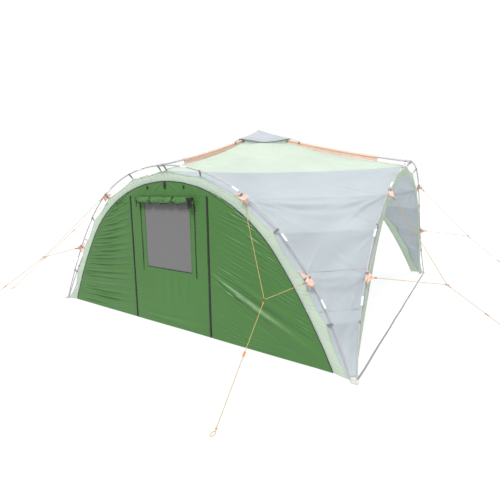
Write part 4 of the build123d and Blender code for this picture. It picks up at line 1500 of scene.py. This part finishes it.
def make_toggles():
    """Tabs above the door with a barrel toggle, which would hold the door rolled up."""
    for k, (x, z, wide, tall) in enumerate(((-0.275, 1.600, 0.016, 0.036), (0.0, 1.622, 0.032, 0.080),
                                            (0.275, 1.600, 0.016, 0.036))):
        down = np.linspace(tall / 2, -tall / 2, 14)
        bulge = 2 * MM * np.sin(np.linspace(0, pi, 14))
        centre = stack(x, -CLOTH - 3.5 * MM - bulge, z + down)
        strap_piece(f"toggle_tab_{k}", centre, ACROSS, wide, "zip_tape",
                    replaces=("wall_toggles",))
        t = np.linspace(-1, 1, 9)
        path = stack(x + t * (wide / 2 + 6 * MM), -CLOTH - 9 * MM, z)
        tube_piece(f"toggle_barrel_{k}", path, 4.6 * MM * (1 - 0.25 * t ** 2), "toggle_plastic",
                   sides=12)


# ---- stage and light -------------------------------------------------------------------
def make_stage():
    """A white floor under a white sky that is dimmer below, and a high key light from the front."""
    floor = bpy.data.meshes.new("floor")
    size = 60.0
    corners = [(-size, -size), (size, -size), (size, size), (-size, size)]
    floor.from_pydata([(x, y, -1 * MM) for x, y in corners], [], [(0, 1, 2, 3)])
    ground = bpy.data.objects.new("floor", floor)
    bpy.context.scene.collection.objects.link(ground)
    s = Shader("floor_white")
    body = s.add("BsdfPrincipled", {"Base Color": (0.12, 0.12, 0.12, 1), "Roughness": 0.9,
                                    "Emission Color": (1, 1, 1, 1), "Emission Strength": 0.86})
    floor.materials.append(s.surface(body.outputs[0]))
    ground.visible_diffuse = False
    ground.visible_glossy = False
    ground.visible_transmission = False
    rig.stage(ground)

    world = bpy.data.worlds.new("sky")
    bpy.context.scene.world = world
    world.use_nodes = True
    tree = world.node_tree
    tree.nodes.clear()
    sky, seen = tree.nodes.new("ShaderNodeBackground"), tree.nodes.new("ShaderNodeBackground")
    seen.inputs[1].default_value = 1.0
    for node in (sky, seen):
        node.inputs[0].default_value = (1, 1, 1, 1)
    toward = tree.nodes.new("ShaderNodeSeparateXYZ")
    height = tree.nodes.new("ShaderNodeMapRange")
    for socket, value in (("From Min", -1.0), ("From Max", -0.2), ("To Min", 1.15), ("To Max", 0.67)):
        height.inputs[socket].default_value = value
    where = tree.nodes.new("ShaderNodeTexCoord")
    tree.links.new(where.outputs["Generated"], toward.inputs[0])
    tree.links.new(toward.outputs["Z"], height.inputs["Value"])
    tree.links.new(height.outputs["Result"], sky.inputs[1])
    path, mix = tree.nodes.new("ShaderNodeLightPath"), tree.nodes.new("ShaderNodeMixShader")
    out = tree.nodes.new("ShaderNodeOutputWorld")
    tree.links.new(path.outputs["Is Camera Ray"], mix.inputs[0])
    tree.links.new(sky.outputs[0], mix.inputs[1])
    tree.links.new(seen.outputs[0], mix.inputs[2])
    tree.links.new(mix.outputs[0], out.inputs[0])

    for name, power, width, turned in (("key", 2.65, 16, (36, 0, 8)), ("back", 1.3, 50, (-52, 0, -28))):
        sun = bpy.data.lights.new(name, "SUN")
        sun.energy, sun.angle = power, radians(width)
        light = bpy.data.objects.new(name, sun)
        light.rotation_euler = [radians(part) for part in turned]
        bpy.context.scene.collection.objects.link(light)
    bpy.context.scene.view_settings.view_transform = "Standard"


def dress_cad_nodes():
    """Each CAD node that stays takes the material of its slot in the record."""
    for name, node in frame["nodes"].items():
        slot = CAD_SLOTS.get(name) or next(v for k, v in CAD_PREFIXES if name.startswith(k))
        for holder in node.material_slots:
            holder.material = MATERIALS[slot]
        node.data.polygons.foreach_set("use_smooth", np.ones(len(node.data.polygons), bool))


CAD_SLOTS = {"pole_ferrules": "ferrule", "centre_hub": "hub_plastic",
             "arch_top_tees": "hub_plastic", "corner_feet": "foot_plastic",
             "guy_rings": "ring_steel"}
CAD_PREFIXES = (("arch_pole", "arch_pole"), ("ridge_pole", "ridge_pole"),
                ("tensioner", "line_plastic"), ("door_slider", "zip_metal"),
                ("window_slider", "zip_metal"), ("", "strap"))


make_camera()
MATERIALS = make_materials()
make_guys()
for number, corner in enumerate(CORNERS):
    make_corner_panel(number, corner, np.random.default_rng(100 + number))
    make_corner_seams(number, corner)
    make_roof_panel(number, corner, np.random.default_rng(200 + number))
    make_roof_seam(number, corner)
for number, face in enumerate(SIDES):
    make_border(number, face, np.random.default_rng(300 + number))
    make_sleeve(number, face, np.random.default_rng(400 + number))
make_cap()
make_pole_straps(np.random.default_rng(600))
make_sleeve_bands()
make_gussets(np.random.default_rng(700))
make_base_straps(np.random.default_rng(800))
make_side_panel(-1, "left", left_folds(np.random.default_rng(901)), np.random.default_rng(902))
make_side_panel(1, "right", right_folds(np.random.default_rng(911)), np.random.default_rng(912))
make_top_panel(np.random.default_rng(921))
make_door(np.random.default_rng(931))
make_net(np.random.default_rng(941))
make_zips()
make_wall_shadow_line(np.random.default_rng(961))
make_roll(np.random.default_rng(971))
make_ties()
make_toggles()
dress_cad_nodes()
make_stage()

with open("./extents.json", "w") as size_file:
    json.dump({"cad": [list(corner) for corner in CAD_BOX],
               "visual": [list(corner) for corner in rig.bounds()]}, size_file)
